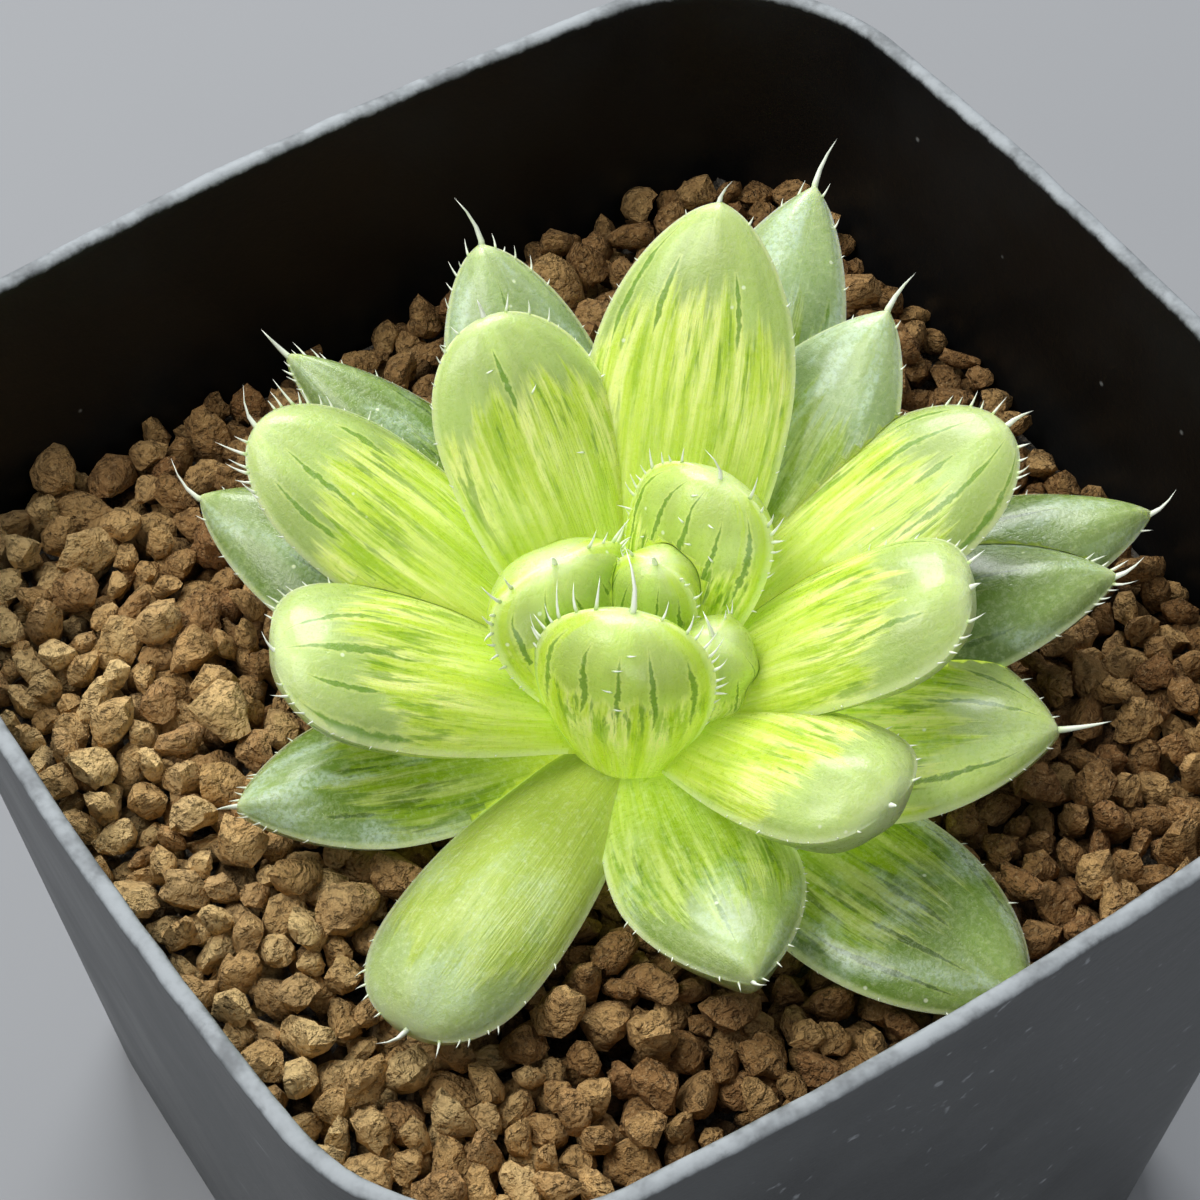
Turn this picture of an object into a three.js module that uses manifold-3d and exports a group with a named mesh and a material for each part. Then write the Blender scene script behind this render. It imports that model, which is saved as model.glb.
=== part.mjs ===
// A rosette of juicy, toothed leaves growing in a black square nursery pot filled with baked clay granules.
// Millimetres, +Z up. The origin is the middle of the pot's footprint, on the surface that it stands on.
// +X and +Y run along the pot's sides.

import * as THREE from 'three';
import { mergeVertices } from 'three/addons/utils/BufferGeometryUtils.js';
import Module from 'manifold-3d';

const wasm = await Module();
wasm.setup();

// ---- Driving dimensions ----

// The gap between two pieces that touch, and how far a cut's fine steps may be smoothed.
const GAP = 0.3;
const CUT_TOLERANCE = 0.1;

// The pot, a thin moulded shell that narrows downward.
const POT_HEIGHT = 66;
const RIM_HALF_SIDE = 35.7; // at the rim, measured level with the round corners
const RIM_BOW = 0.064; // the bulge of a side's middle at the rim, as a share of the half side
const FOOT_BOW = 0.02; // the same at the foot
const TAPER = 0.09; // the half side lost for each millimetre downward
const CORNER_RADIUS = 11.6; // at the rim
const WALL = 1.0;
const RIM_ROUNDING = 0.25;
const FOOT_CHAMFER = 0.8;
const FOOT_RING_WIDTH = 4.0; // the flat ring that the pot stands on
const FLOOR_UNDERSIDE = 1.5; // the floor is raised above the ring
const FLOOR_TOP = 2.9;
const DRAIN_SLOT = { length: 13, width: 3, distance: 14, count: 4 };
const SIDE_STEPS = 4;
const CORNER_STEPS = 4;

// The granules. Their tops lie near one level, well below the rim.
const SOIL_LEVEL = 51.6;
const GRANULE_SPACING = 5.3;
const GRANULE_SHIFT = 1.25; // how far a granule may lie from its place in the pattern
const GRANULE_RISE = 1.0; // how far a top may lie above or below the level
const GRANULE_TILT = 0.38; // the steepest slope of a top, in each direction
const GRANULE_UNEVEN = 0.3;
const CREVICE_DEPTH = 2.7; // from the level down to where three granules meet
const GRANULE_SHOULDER = [0.58, 0.86]; // how far a top reaches towards the crevices, as a share of the way
const SOIL_EDGE_DEPTH = 30; // the pattern's own underside, inside the solid filling

// The plant's middle, where the stem stands.
const STEM_X = -2.4;
const STEM_Y = -5.0;
const STEM_RADIUS = 3.3;
const STEM_TOP = 56.5;
const STEM_TOP_RADIUS = 1.1;
const STEM_SHOULDER = 54.0;
const STEM_FOOT = 31;
const STEM_FOOT_RADIUS = 2.2;
const STEM_SIDES = 14;
const ROOT_COUNT = 5;
const ROOT_START = 35; // the height at which the roots leave the stem
const ROOT_FIRST_TURN = 25; // the first root's direction, degrees
const ROOT_RADIUS = 1.5;
const ROOT_TIP_RADIUS = 0.5;
const ROOT_REACH = 19;
const ROOT_TIP_HEIGHT = 13; // of every second root; the others end ROOT_STAGGER higher
const ROOT_STAGGER = 2;
const ROOT_SIDES = 5;
const ROOT_STEPS = 3;

// Leaf outlines. fullest is where the leaf is widest, as a share of its length, and foot is its width at
// the stem as a share of the widest. From the widest place on, the half width falls to the tip as
// (1 - u^curve)^(1/bluntness). up and down are the thickness above and below the margins.
const POINTED = { fullest: 0.56, foot: 0.55, curve: 2.0, bluntness: 1.18, up: 1.7, down: 2.6 };
const SLENDER = { fullest: 0.58, foot: 0.53, curve: 2.05, bluntness: 1.42, up: 1.8, down: 2.7 };
const OVAL = { fullest: 0.66, foot: 0.52, curve: 2.3, bluntness: 1.9, up: 2.0, down: 2.8 };
const BLUNT = { fullest: 0.68, foot: 0.52, curve: 2.7, bluntness: 2.4, up: 2.4, down: 3.2 };
const YOUNG = { fullest: 0.62, foot: 0.58, curve: 2.6, bluntness: 2.2, up: 2.0, down: 2.8 };

// The leaves, from the heart outward. turn is the direction round the stem and bend the change of direction
// along the leaf; rise is the slope at the foot and at the tip, all in degrees. out and level place the foot
// from the stem's middle and above the ground. awn is the length of the bristle on the tip.
const LEAVES = [
  { name: 'leaf_heart_front', form: YOUNG, turn: -136, bend: 0, rise: [84, 112], out: 4.1, level: 54.9,
    length: 12.2, width: 10.3, awn: 3.2, tone: 'bright' },
  { name: 'leaf_heart_bud', form: YOUNG, turn: 24, bend: 0, rise: [80, 86], out: 0.8, level: 57.0,
    length: 9.4, width: 5.6, awn: 1.4, tone: 'bright' },
  { name: 'leaf_heart_right', form: BLUNT, turn: 20, bend: 0, rise: [70, 62], out: 2.4, level: 56.0,
    length: 13.5, width: 9.4, awn: 1.8, tone: 'bright' },
  { name: 'leaf_heart_left', form: BLUNT, turn: 138, bend: -50, rise: [72, 80], out: 2.8, level: 55.5,
    length: 11.0, width: 10.0, awn: 1.6, tone: 'bright' },
  { name: 'leaf_heart_side', form: YOUNG, turn: -58, bend: 0, rise: [76, 86], out: 3.4, level: 55.5,
    length: 8.8, width: 6.0, awn: 1.2, tone: 'bright' },
  { name: 'leaf_upper_01', form: SLENDER, turn: 44, bend: 0, rise: [48, 38], out: 2.5, level: 55.5,
    length: 27.9, width: 12.2, awn: 1.2, tone: 'bright' },
  { name: 'leaf_upper_02', form: OVAL, turn: 87, bend: 0, rise: [51, 43], out: 2.5, level: 55.5,
    length: 22.6, width: 11.0, awn: 1.0, tone: 'bright' },
  { name: 'leaf_upper_03', form: BLUNT, turn: -37, bend: 0, rise: [42, 32], out: 2.5, level: 55.0,
    length: 20.5, width: 10.4, awn: 0.9, tone: 'bright' },
  { name: 'leaf_upper_04', form: BLUNT, turn: 157, bend: 0, rise: [34, 26], out: 2.5, level: 54.5,
    length: 21.5, width: 11.6, awn: 0.9, tone: 'bright' },
  { name: 'leaf_upper_05', form: OVAL, turn: -6, bend: 0, rise: [34, 22], out: 2.5, level: 54.9,
    length: 25.2, width: 10.8, awn: 1.6, tone: 'bright' },
  { name: 'leaf_upper_06', form: BLUNT, turn: -77, bend: 0, rise: [34, 22], out: 2.5, level: 54.3,
    length: 18.8, width: 9.8, awn: 0.9, tone: 'bright' },
  { name: 'leaf_upper_07', form: OVAL, turn: 119, bend: 0, rise: [30, 26], out: 2.5, level: 54.5,
    length: 26.0, width: 10.6, awn: 2.0, tone: 'bright' },
  { name: 'leaf_lower_01', form: POINTED, turn: 36, bend: 0, rise: [32, 20], out: 2.5, level: 53.5,
    length: 33.0, width: 10.6, awn: 2.6, tone: 'grey' },
  { name: 'leaf_lower_02', form: POINTED, turn: 19, bend: 0, rise: [36, 26], out: 2.5, level: 54.0,
    length: 26.4, width: 10.8, awn: 2.4, tone: 'grey' },
  { name: 'leaf_lower_03', form: SLENDER, turn: 78, bend: 0, rise: [38, 28], out: 2.5, level: 53.5,
    length: 28.2, width: 10.0, awn: 2.8, tone: 'grey' },
  { name: 'leaf_lower_04', form: POINTED, turn: 93, bend: 22, rise: [25, 14], out: 2.5, level: 53.5,
    length: 29.0, width: 7.4, awn: 1.8, tone: 'dark' },
  { name: 'leaf_lower_05', form: POINTED, turn: 120, bend: 0, rise: [14, 6], out: 2.5, level: 53.0,
    length: 28.0, width: 10.8, awn: 2.4, tone: 'dark' },
  { name: 'leaf_lower_06', form: POINTED, turn: -16, bend: -12, rise: [17, 8], out: 2.5, level: 53.2,
    length: 27.6, width: 10.4, awn: 1.6, tone: 'dark' },
  { name: 'leaf_lower_07', form: POINTED, turn: -8, bend: -12, rise: [16, 6], out: 2.5, level: 52.6,
    length: 31.6, width: 10.2, awn: 1.6, tone: 'dark' },
  { name: 'leaf_lower_08', form: POINTED, turn: -44, bend: 0, rise: [15, 9], out: 2.5, level: 53.4,
    length: 22.9, width: 14.0, awn: 3.0, tone: 'green' },
  { name: 'leaf_lower_09', form: POINTED, turn: -107, bend: 0, rise: [16, 12], out: 2.5, level: 52.8,
    length: 20.2, width: 10.8, awn: 0.9, tone: 'green' },
  { name: 'leaf_lower_10', form: BLUNT, turn: -153, bend: 0, rise: [14, 2], out: 2.5, level: 52.5,
    length: 24.2, width: 9.7, awn: 2.2, tone: 'green' },
  { name: 'leaf_lower_11', form: POINTED, turn: 165, bend: 0, rise: [10, 4], out: 2.5, level: 52.5,
    length: 22.4, width: 10.2, awn: 1.2, tone: 'dark' },
  { name: 'leaf_lower_12', form: SLENDER, turn: -76, bend: 0, rise: [5, 1], out: 2.5, level: 52.0,
    length: 26.9, width: 12.2, awn: 0.9, tone: 'dark' },
];
const LEAF_STATIONS = 9;
const LEAF_SIDES = 10;
const MIDDLE_STEPS = 60; // short steps that follow a leaf's curved middle
const TIP_CROWDING = 1.6; // the stations lie closer together towards the tip
const MARGIN_SHARPNESS = 1.25; // 1 is an oval section; more draws its two margins out thin
const THICK_SHARE = 0.72; // the leaf keeps its full thickness up to here, as a share of its length
const TIP_FULLNESS = 2.2;
const FOOT_THICKNESS = 0.5;
const SWELL = 1.3; // above 1 the leaf stays narrow for longer above its foot
const MARGIN_GROWTH = 1.5; // a grown leaf gains this much more at its thin margins and tip

// The teeth on a leaf's margins and the bristle on its tip.
const TEETH_A_SIDE = 5;
const TEETH_FROM = 0.5; // the first and last tooth, as shares of the leaf's length
const TEETH_TO = 0.965;
const TEETH_CROWDING = 0.7; // below 1 the teeth stand closer together towards the tip
const TOOTH_WANDER = 0.02; // how far a tooth may lie from its place, as a share of the leaf's length
const TOOTH_LENGTH = [0.85, 1.4];
const TOOTH_RADIUS = 0.24;
const TOOTH_ROOT = 0.6; // how deep a tooth's root is sunk in the leaf
const TOOTH_LEAN = [35, 54]; // towards the leaf's tip, degrees, for the first tooth and the last
const TOOTH_LIFT = 0.35; // how far a tooth may point upward, as a share of its length
const AWN_RADIUS = 0.34;
const AWN_BEND_RADIUS = 0.2;
const AWN_ROOT = 1.0;
const AWN_CURL = 38; // how far the bristle curves upward, degrees

// ---- Solids ----

// A repeatable run of numbers between 0 and 1.
function seededRandom(seed) {
  let state = seed;
  return () => {
    state = (state + 0x6d2b79f5) | 0;
    let value = Math.imul(state ^ (state >>> 15), 1 | state);
    value = (value + Math.imul(value ^ (value >>> 7), 61 | value)) ^ value;
    return ((value ^ (value >>> 14)) >>> 0) / 4294967296;
  };
}

const radians = THREE.MathUtils.degToRad;

// A closed geometry as a solid that can be joined and cut.
function toSolid(geometry) {
  const bare = geometry.clone();
  bare.deleteAttribute('normal');
  bare.deleteAttribute('uv');
  const merged = mergeVertices(bare, 1e-5);
  return new wasm.Manifold(new wasm.Mesh({
    numProp: 3,
    vertProperties: new Float32Array(merged.attributes.position.array),
    triVerts: new Uint32Array(merged.index.array),
  }));
}

// The largest body of a solid; scraps that a cut leaves are dropped.
function largestBody(solid) {
  return solid.decompose().sort((one, other) => other.volume() - one.volume())[0];
}

// A solid as a geometry.
function toGeometry(solid) {
  const mesh = largestBody(solid).getMesh();
  const geometry = new THREE.BufferGeometry();
  geometry.setAttribute('position', new THREE.BufferAttribute(new Float32Array(mesh.vertProperties), 3));
  geometry.setIndex(new THREE.BufferAttribute(new Uint32Array(mesh.triVerts), 1));
  return geometry;
}

// A closed skin over a row of rings, all with the same number of points and running anticlockwise seen
// from the last ring, closed by a fan of triangles onto a point at each end.
function skin(rings, firstPoint, lastPoint) {
  const count = rings[0].length;
  const points = [...rings.flat(), firstPoint, lastPoint];
  const first = points.length - 2;
  const last = points.length - 1;
  const index = [];
  for (let k = 0; k < count; k += 1) {
    const next = (k + 1) % count;
    index.push(first, next, k);
    for (let ring = 0; ring < rings.length - 1; ring += 1) {
      const low = ring * count;
      const high = low + count;
      index.push(low + k, low + next, high + next);
      index.push(low + k, high + next, high + k);
    }
    const top = (rings.length - 1) * count;
    index.push(last, top + k, top + next);
  }
  const geometry = new THREE.BufferGeometry();
  geometry.setAttribute('position', new THREE.Float32BufferAttribute(points.flat(), 3));
  geometry.setIndex(index);
  return toSolid(geometry);
}

// ---- Pot ----

// A square outline with round corners and sides that bulge by a share of the half side. A point at (x, y)
// moves outward along X by bow * (1 - (y / half)^2) of its x, and the same with X and Y exchanged.
function squareOutline(half, radius, bow) {
  const straight = half - radius;
  const quarter = [];
  for (let k = 0; k < SIDE_STEPS; k += 1) {
    quarter.push([half, straight * (2 * k / SIDE_STEPS - 1)]);
  }
  for (let k = 0; k < CORNER_STEPS; k += 1) {
    const angle = k / CORNER_STEPS * Math.PI / 2;
    quarter.push([straight + radius * Math.cos(angle), straight + radius * Math.sin(angle)]);
  }
  const outline = [];
  for (let turn = 0; turn < 4; turn += 1) {
    const cosine = Math.round(Math.cos(turn * Math.PI / 2));
    const sine = Math.round(Math.sin(turn * Math.PI / 2));
    for (const [x, y] of quarter) {
      const bulgedX = x * (1 + bow * (1 - (y / half) ** 2));
      const bulgedY = y * (1 + bow * (1 - (x / half) ** 2));
      outline.push([bulgedX * cosine - bulgedY * sine, bulgedX * sine + bulgedY * cosine]);
    }
  }
  return outline;
}

// The pot's outline at a height, moved inward by inset.
function potRing(height, inset) {
  const half = RIM_HALF_SIDE - TAPER * (POT_HEIGHT - height);
  const radius = CORNER_RADIUS * half / RIM_HALF_SIDE;
  const bow = FOOT_BOW + (RIM_BOW - FOOT_BOW) * height / POT_HEIGHT;
  return squareOutline(half - inset, radius - inset, bow).map(([x, y]) => [x, y, height]);
}

function potSolid() {
  const shell = skin([
    potRing(FLOOR_UNDERSIDE, FOOT_RING_WIDTH),
    potRing(0, FOOT_RING_WIDTH),
    potRing(0, FOOT_CHAMFER),
    potRing(FOOT_CHAMFER, 0),
    potRing(POT_HEIGHT - RIM_ROUNDING, 0),
    potRing(POT_HEIGHT, RIM_ROUNDING),
    potRing(POT_HEIGHT, WALL - RIM_ROUNDING),
    potRing(POT_HEIGHT - RIM_ROUNDING, WALL),
    potRing(FLOOR_TOP, WALL),
  ], [0, 0, FLOOR_UNDERSIDE], [0, 0, FLOOR_TOP]);
  let pot = shell;
  for (let k = 0; k < DRAIN_SLOT.count; k += 1) {
    const slot = new THREE.BoxGeometry(DRAIN_SLOT.length, DRAIN_SLOT.width, POT_HEIGHT / 4);
    slot.translate(DRAIN_SLOT.distance, 0, 0);
    slot.rotateZ((k + 0.5) * Math.PI * 2 / DRAIN_SLOT.count);
    pot = pot.subtract(toSolid(slot));
  }
  return pot;
}

// ---- Granules ----

// The granules' relief, on a pattern of staggered rows. Every granule is a tilted, uneven six-sided face,
// and its sides slope down to the crevices where it meets its neighbours three by three.
function granuleRelief() {
  const random = seededRandom(7);
  const spread = (amount) => (random() * 2 - 1) * amount;
  const rowSpacing = GRANULE_SPACING * Math.sqrt(3) / 2;
  const reach = RIM_HALF_SIDE * (1 + RIM_BOW) + 2 * GRANULE_SPACING;
  const rows = Math.ceil(reach / rowSpacing);
  const columns = Math.ceil(reach / GRANULE_SPACING);
  const middles = new Map();
  for (let row = -rows; row <= rows; row += 1) {
    for (let column = -columns; column <= columns; column += 1) {
      const stagger = Math.abs(row % 2) / 2;
      middles.set(`${row},${column}`, {
        x: (column + stagger) * GRANULE_SPACING + spread(GRANULE_SHIFT),
        y: row * rowSpacing + spread(GRANULE_SHIFT),
        z: SOIL_LEVEL + spread(GRANULE_RISE),
        slopeX: spread(GRANULE_TILT),
        slopeY: spread(GRANULE_TILT),
      });
    }
  }
  const points = [];
  const crevices = new Map();
  // One shared crevice point for three neighbouring granules.
  const crevicePoint = (keys) => {
    const name = [...keys].sort().join(' ');
    if (!crevices.has(name)) {
      const around = keys.map((key) => middles.get(key));
      const mean = (axis) => around.reduce((sum, middle) => sum + middle[axis], 0) / 3;
      crevices.set(name, points.length);
      points.push([mean('x'), mean('y'), SOIL_LEVEL - CREVICE_DEPTH + spread(GRANULE_RISE / 2)]);
    }
    return crevices.get(name);
  };
  const top = [];
  for (let row = 1 - rows; row < rows; row += 1) {
    for (let column = 1 - columns; column < columns; column += 1) {
      const own = `${row},${column}`;
      const middle = middles.get(own);
      const shift = Math.abs(row % 2);
      const neighbours = [
        `${row},${column + 1}`, `${row + 1},${column + shift}`, `${row + 1},${column + shift - 1}`,
        `${row},${column - 1}`, `${row - 1},${column + shift - 1}`, `${row - 1},${column + shift}`,
      ];
      const corners = neighbours.map((key, k) => crevicePoint([own, key, neighbours[(k + 1) % 6]]));
      const shoulder = points.length;
      for (const corner of corners) {
        const reached = THREE.MathUtils.lerp(...GRANULE_SHOULDER, random());
        const alongX = (points[corner][0] - middle.x) * reached;
        const alongY = (points[corner][1] - middle.y) * reached;
        const tilt = alongX * middle.slopeX + alongY * middle.slopeY;
        points.push([middle.x + alongX, middle.y + alongY, middle.z + tilt - spread(GRANULE_UNEVEN)]);
      }
      for (let k = 1; k < 5; k += 1) {
        top.push([shoulder, shoulder + k, shoulder + k + 1]);
      }
      for (let k = 0; k < 6; k += 1) {
        const next = (k + 1) % 6;
        top.push([shoulder + k, corners[k], corners[next]]);
        top.push([shoulder + k, corners[next], shoulder + next]);
      }
    }
  }
  return closeBelow(points, top, SOIL_LEVEL - SOIL_EDGE_DEPTH);
}

// A solid between an open, upward surface and a flat underside with the same pattern of triangles.
function closeBelow(points, top, level) {
  const offset = points.length;
  const all = [...points, ...points.map(([x, y]) => [x, y, level])];
  const faces = [...top, ...top.map(([a, b, c]) => [a + offset, c + offset, b + offset])];
  const edges = new Set(top.flatMap(([a, b, c]) => [`${a},${b}`, `${b},${c}`, `${c},${a}`]));
  for (const edge of edges) {
    const [from, to] = edge.split(',').map(Number);
    if (!edges.has(`${to},${from}`)) {
      faces.push([from, from + offset, to + offset], [from, to + offset, to]);
    }
  }
  const geometry = new THREE.BufferGeometry();
  geometry.setAttribute('position', new THREE.Float32BufferAttribute(all.flat(), 3));
  geometry.setIndex(faces.flat());
  return toSolid(geometry);
}

// The filling: the pot's inside less a gap, under the granules' relief.
function soilSolid() {
  const floor = FLOOR_TOP + GAP;
  const inset = WALL + GAP;
  const upTo = (height) => skin(
    [potRing(floor, inset), potRing(height, inset)],
    [0, 0, floor],
    [0, 0, height],
  );
  return upTo(POT_HEIGHT).intersect(granuleRelief()).add(upTo(SOIL_LEVEL - SOIL_EDGE_DEPTH / 2));
}

// ---- Stem and roots ----

// The short stem, turned about its own axis, with grow added all over.
function stemBody(grow) {
  const profile = [
    new THREE.Vector2(0, STEM_FOOT - grow),
    new THREE.Vector2(STEM_FOOT_RADIUS + grow, STEM_FOOT - grow),
    new THREE.Vector2(STEM_RADIUS + grow, (STEM_FOOT + STEM_SHOULDER) / 2),
    new THREE.Vector2(STEM_RADIUS + grow, STEM_SHOULDER + grow / 2),
    new THREE.Vector2(STEM_TOP_RADIUS + grow, STEM_TOP + grow / 2),
    new THREE.Vector2(0, STEM_TOP + grow),
  ];
  const lathe = new THREE.LatheGeometry(profile, STEM_SIDES);
  lathe.rotateX(Math.PI / 2);
  lathe.translate(STEM_X, STEM_Y, 0);
  return toSolid(lathe);
}

// One fleshy root: a tapered, bent finger that leaves the stem's foot and dives. With s the share of the
// way, it lies ROOT_REACH * s^0.8 out from the stem and has sunk by its whole depth times s^1.4.
function rootBody(number, grow) {
  const turn = radians(ROOT_FIRST_TURN + number * 360 / ROOT_COUNT);
  const end = ROOT_TIP_HEIGHT + ROOT_STAGGER * (number % 2);
  const rings = [];
  const middles = [];
  for (let step = 0; step <= ROOT_STEPS; step += 1) {
    const share = step / ROOT_STEPS;
    const out = ROOT_REACH * share ** 0.8;
    const dive = (ROOT_START - end) * share ** 1.4;
    const middle = new THREE.Vector3(
      STEM_X + out * Math.cos(turn),
      STEM_Y + out * Math.sin(turn),
      ROOT_START - dive,
    );
    const radius = ROOT_RADIUS + (ROOT_TIP_RADIUS - ROOT_RADIUS) * share + grow;
    const ring = [];
    for (let k = 0; k < ROOT_SIDES; k += 1) {
      const angle = k / ROOT_SIDES * 2 * Math.PI;
      ring.push([
        middle.x - Math.sin(turn) * Math.cos(angle) * radius,
        middle.y + Math.cos(turn) * Math.cos(angle) * radius,
        middle.z + Math.sin(angle) * radius,
      ]);
    }
    rings.push(ring);
    middles.push(middle);
  }
  const tip = middles[ROOT_STEPS].clone();
  tip.x += Math.cos(turn) * (ROOT_TIP_RADIUS + grow);
  tip.y += Math.sin(turn) * (ROOT_TIP_RADIUS + grow);
  return skin(rings, middles[0].toArray(), tip.toArray());
}

function stemSolid(grow) {
  let stem = stemBody(grow);
  for (let number = 0; number < ROOT_COUNT; number += 1) {
    stem = stem.add(rootBody(number, grow));
  }
  return stem;
}

// ---- Leaves ----

// The direction that a leaf runs in at a share of its length, and its two cross directions.
function leafFrame(leaf, share) {
  const rise = radians(leaf.rise[0] + (leaf.rise[1] - leaf.rise[0]) * share);
  const turn = radians(leaf.turn + leaf.bend * share);
  const along = new THREE.Vector3(
    Math.cos(rise) * Math.cos(turn),
    Math.cos(rise) * Math.sin(turn),
    Math.sin(rise),
  );
  const across = new THREE.Vector3(-Math.sin(turn), Math.cos(turn), 0);
  return { along, across, up: along.clone().cross(across) };
}

// The middle of a leaf at a share of its length, found by adding up short steps along it.
function leafMiddle(leaf, share) {
  const turn = radians(leaf.turn);
  const point = new THREE.Vector3(
    STEM_X + leaf.out * Math.cos(turn),
    STEM_Y + leaf.out * Math.sin(turn),
    leaf.level,
  );
  for (let k = 0; k < MIDDLE_STEPS; k += 1) {
    const { along } = leafFrame(leaf, share * (k + 0.5) / MIDDLE_STEPS);
    point.addScaledVector(along, leaf.length * share / MIDDLE_STEPS);
  }
  return point;
}

// The half width at a share of the length: it swells from the foot on a sine, then closes on the tip.
function leafHalfWidth(leaf, share) {
  const { fullest, foot, curve, bluntness } = leaf.form;
  if (share < fullest) {
    const swell = Math.sin(Math.PI / 2 * share / fullest) ** SWELL;
    return leaf.width / 2 * (foot + (1 - foot) * swell);
  }
  const beyond = (share - fullest) / (1 - fullest);
  return leaf.width / 2 * Math.max(1 - beyond ** curve, 0) ** (1 / bluntness);
}

// The thickness at a share of the length, as a share of the form's full thickness.
function leafThickness(share) {
  if (share < THICK_SHARE) {
    return FOOT_THICKNESS + (1 - FOOT_THICKNESS) * Math.sin(Math.PI / 2 * share / THICK_SHARE);
  }
  const beyond = (share - THICK_SHARE) / (1 - THICK_SHARE);
  return Math.max(1 - beyond ** TIP_FULLNESS, 0) ** (1 / TIP_FULLNESS);
}

// A leaf without its teeth, with grow added on every side.
function leafBody(leaf, grow) {
  const rings = [];
  for (let station = 0; station < LEAF_STATIONS; station += 1) {
    const share = 1 - (1 - station / LEAF_STATIONS) ** TIP_CROWDING;
    const { across, up } = leafFrame(leaf, share);
    const middle = leafMiddle(leaf, share);
    const halfWidth = leafHalfWidth(leaf, share) + grow * MARGIN_GROWTH;
    const thickness = leafThickness(share);
    const ring = [];
    for (let k = 0; k < LEAF_SIDES; k += 1) {
      const angle = k / LEAF_SIDES * 2 * Math.PI;
      const height = Math.sign(Math.sin(angle)) * Math.abs(Math.sin(angle)) ** MARGIN_SHARPNESS;
      const depth = (height > 0 ? leaf.form.up : leaf.form.down) * thickness + grow;
      const point = middle.clone()
        .addScaledVector(across, halfWidth * Math.cos(angle))
        .addScaledVector(up, depth * height);
      ring.push(point.toArray());
    }
    rings.push(ring);
  }
  const foot = leafMiddle(leaf, 0).addScaledVector(leafFrame(leaf, 0).along, -grow);
  const tip = leafMiddle(leaf, 1).addScaledVector(leafFrame(leaf, 1).along, grow * MARGIN_GROWTH);
  return skin(rings, foot.toArray(), tip.toArray());
}

// A three-sided spike from a sunk root, pointing along a direction.
function spike(root, direction, length, radius) {
  const cone = new THREE.ConeGeometry(radius, length, 3, 1);
  cone.translate(0, length / 2, 0);
  const up = new THREE.Vector3(0, 1, 0);
  cone.applyQuaternion(new THREE.Quaternion().setFromUnitVectors(up, direction.clone().normalize()));
  cone.translate(root.x, root.y, root.z);
  return toSolid(cone);
}

// The teeth along both margins, each leaning towards the tip.
function leafTeeth(leaf, random) {
  const teeth = [];
  for (const side of [-1, 1]) {
    for (let k = 0; k < TEETH_A_SIDE; k += 1) {
      const order = k / (TEETH_A_SIDE - 1);
      const even = THREE.MathUtils.lerp(TEETH_FROM, TEETH_TO, order ** TEETH_CROWDING);
      const share = Math.min(even + (random() * 2 - 1) * TOOTH_WANDER, TEETH_TO);
      const { along, across, up } = leafFrame(leaf, share);
      const lean = radians(THREE.MathUtils.lerp(...TOOTH_LEAN, order));
      const direction = across.clone().multiplyScalar(side * Math.cos(lean))
        .addScaledVector(along, Math.sin(lean))
        .addScaledVector(up, TOOTH_LIFT * random());
      const margin = leafHalfWidth(leaf, share) - TOOTH_ROOT;
      const root = leafMiddle(leaf, share).addScaledVector(across, side * margin);
      const length = TOOTH_ROOT + THREE.MathUtils.lerp(...TOOTH_LENGTH, random());
      teeth.push(spike(root, direction, length, TOOTH_RADIUS));
    }
  }
  return teeth;
}

// The bristle on the tip, three-sided and curling upward over its outer half.
function leafAwn(leaf) {
  const { along, across, up } = leafFrame(leaf, 1);
  const root = leafMiddle(leaf, 1).addScaledVector(along, -AWN_ROOT);
  const bend = leafMiddle(leaf, 1).addScaledVector(along, leaf.awn / 2);
  const curl = radians(AWN_CURL);
  const tip = bend.clone()
    .addScaledVector(along, leaf.awn / 2 * Math.cos(curl))
    .addScaledVector(up, leaf.awn / 2 * Math.sin(curl));
  const ringAt = (middle, radius) => [0, 1, 2].map((k) => middle.clone()
    .addScaledVector(across, radius * Math.cos(k * 2 * Math.PI / 3))
    .addScaledVector(up, radius * Math.sin(k * 2 * Math.PI / 3))
    .toArray());
  const rings = [ringAt(root, AWN_RADIUS), ringAt(bend, AWN_BEND_RADIUS)];
  return skin(rings, root.toArray(), tip.toArray());
}

const overlaps = (one, other) => {
  const a = one.boundingBox();
  const b = other.boundingBox();
  const apart = [0, 1, 2].some((axis) => a.min[axis] > b.max[axis] || b.min[axis] > a.max[axis]);
  return !apart && one.intersect(other).volume() > 0;
};

// The leaves, each cut back where one nearer the heart, or the stem, presses into it, and then given the
// teeth and the bristle that stand clear of everything else.
function leafSolids(stem) {
  const bodies = LEAVES.map((leaf) => leafBody(leaf, 0));
  const grown = LEAVES.map((leaf) => leafBody(leaf, GAP));
  const cut = bodies.map((body, k) => {
    let left = body.subtract(stem);
    for (const inner of grown.slice(0, k)) {
      left = left.subtract(inner);
    }
    return largestBody(left).simplify(CUT_TOLERANCE);
  });
  const random = seededRandom(21);
  const standing = [];
  return LEAVES.map((leaf, k) => {
    const others = [...grown.filter((body, other) => other !== k), ...standing];
    let solid = cut[k];
    for (const spine of [...leafTeeth(leaf, random), leafAwn(leaf)]) {
      if (!others.some((other) => overlaps(spine, other)) && overlaps(spine, solid)) {
        solid = solid.add(spine);
        standing.push(spine);
      }
    }
    return solid;
  });
}

// ---- Materials ----

const finish = (color, roughness) => new THREE.MeshStandardMaterial({ color, roughness, metalness: 0 });
const MATERIALS = {
  pot: finish('#1f2122', 0.5),
  granules: finish('#94683a', 0.95),
  stem: finish('#b9b77c', 0.7),
  bright: finish('#b4d245', 0.35),
  green: finish('#93b84a', 0.38),
  grey: finish('#8aa873', 0.4),
  dark: finish('#5f8436', 0.35),
};

// ---- The part ----

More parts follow.
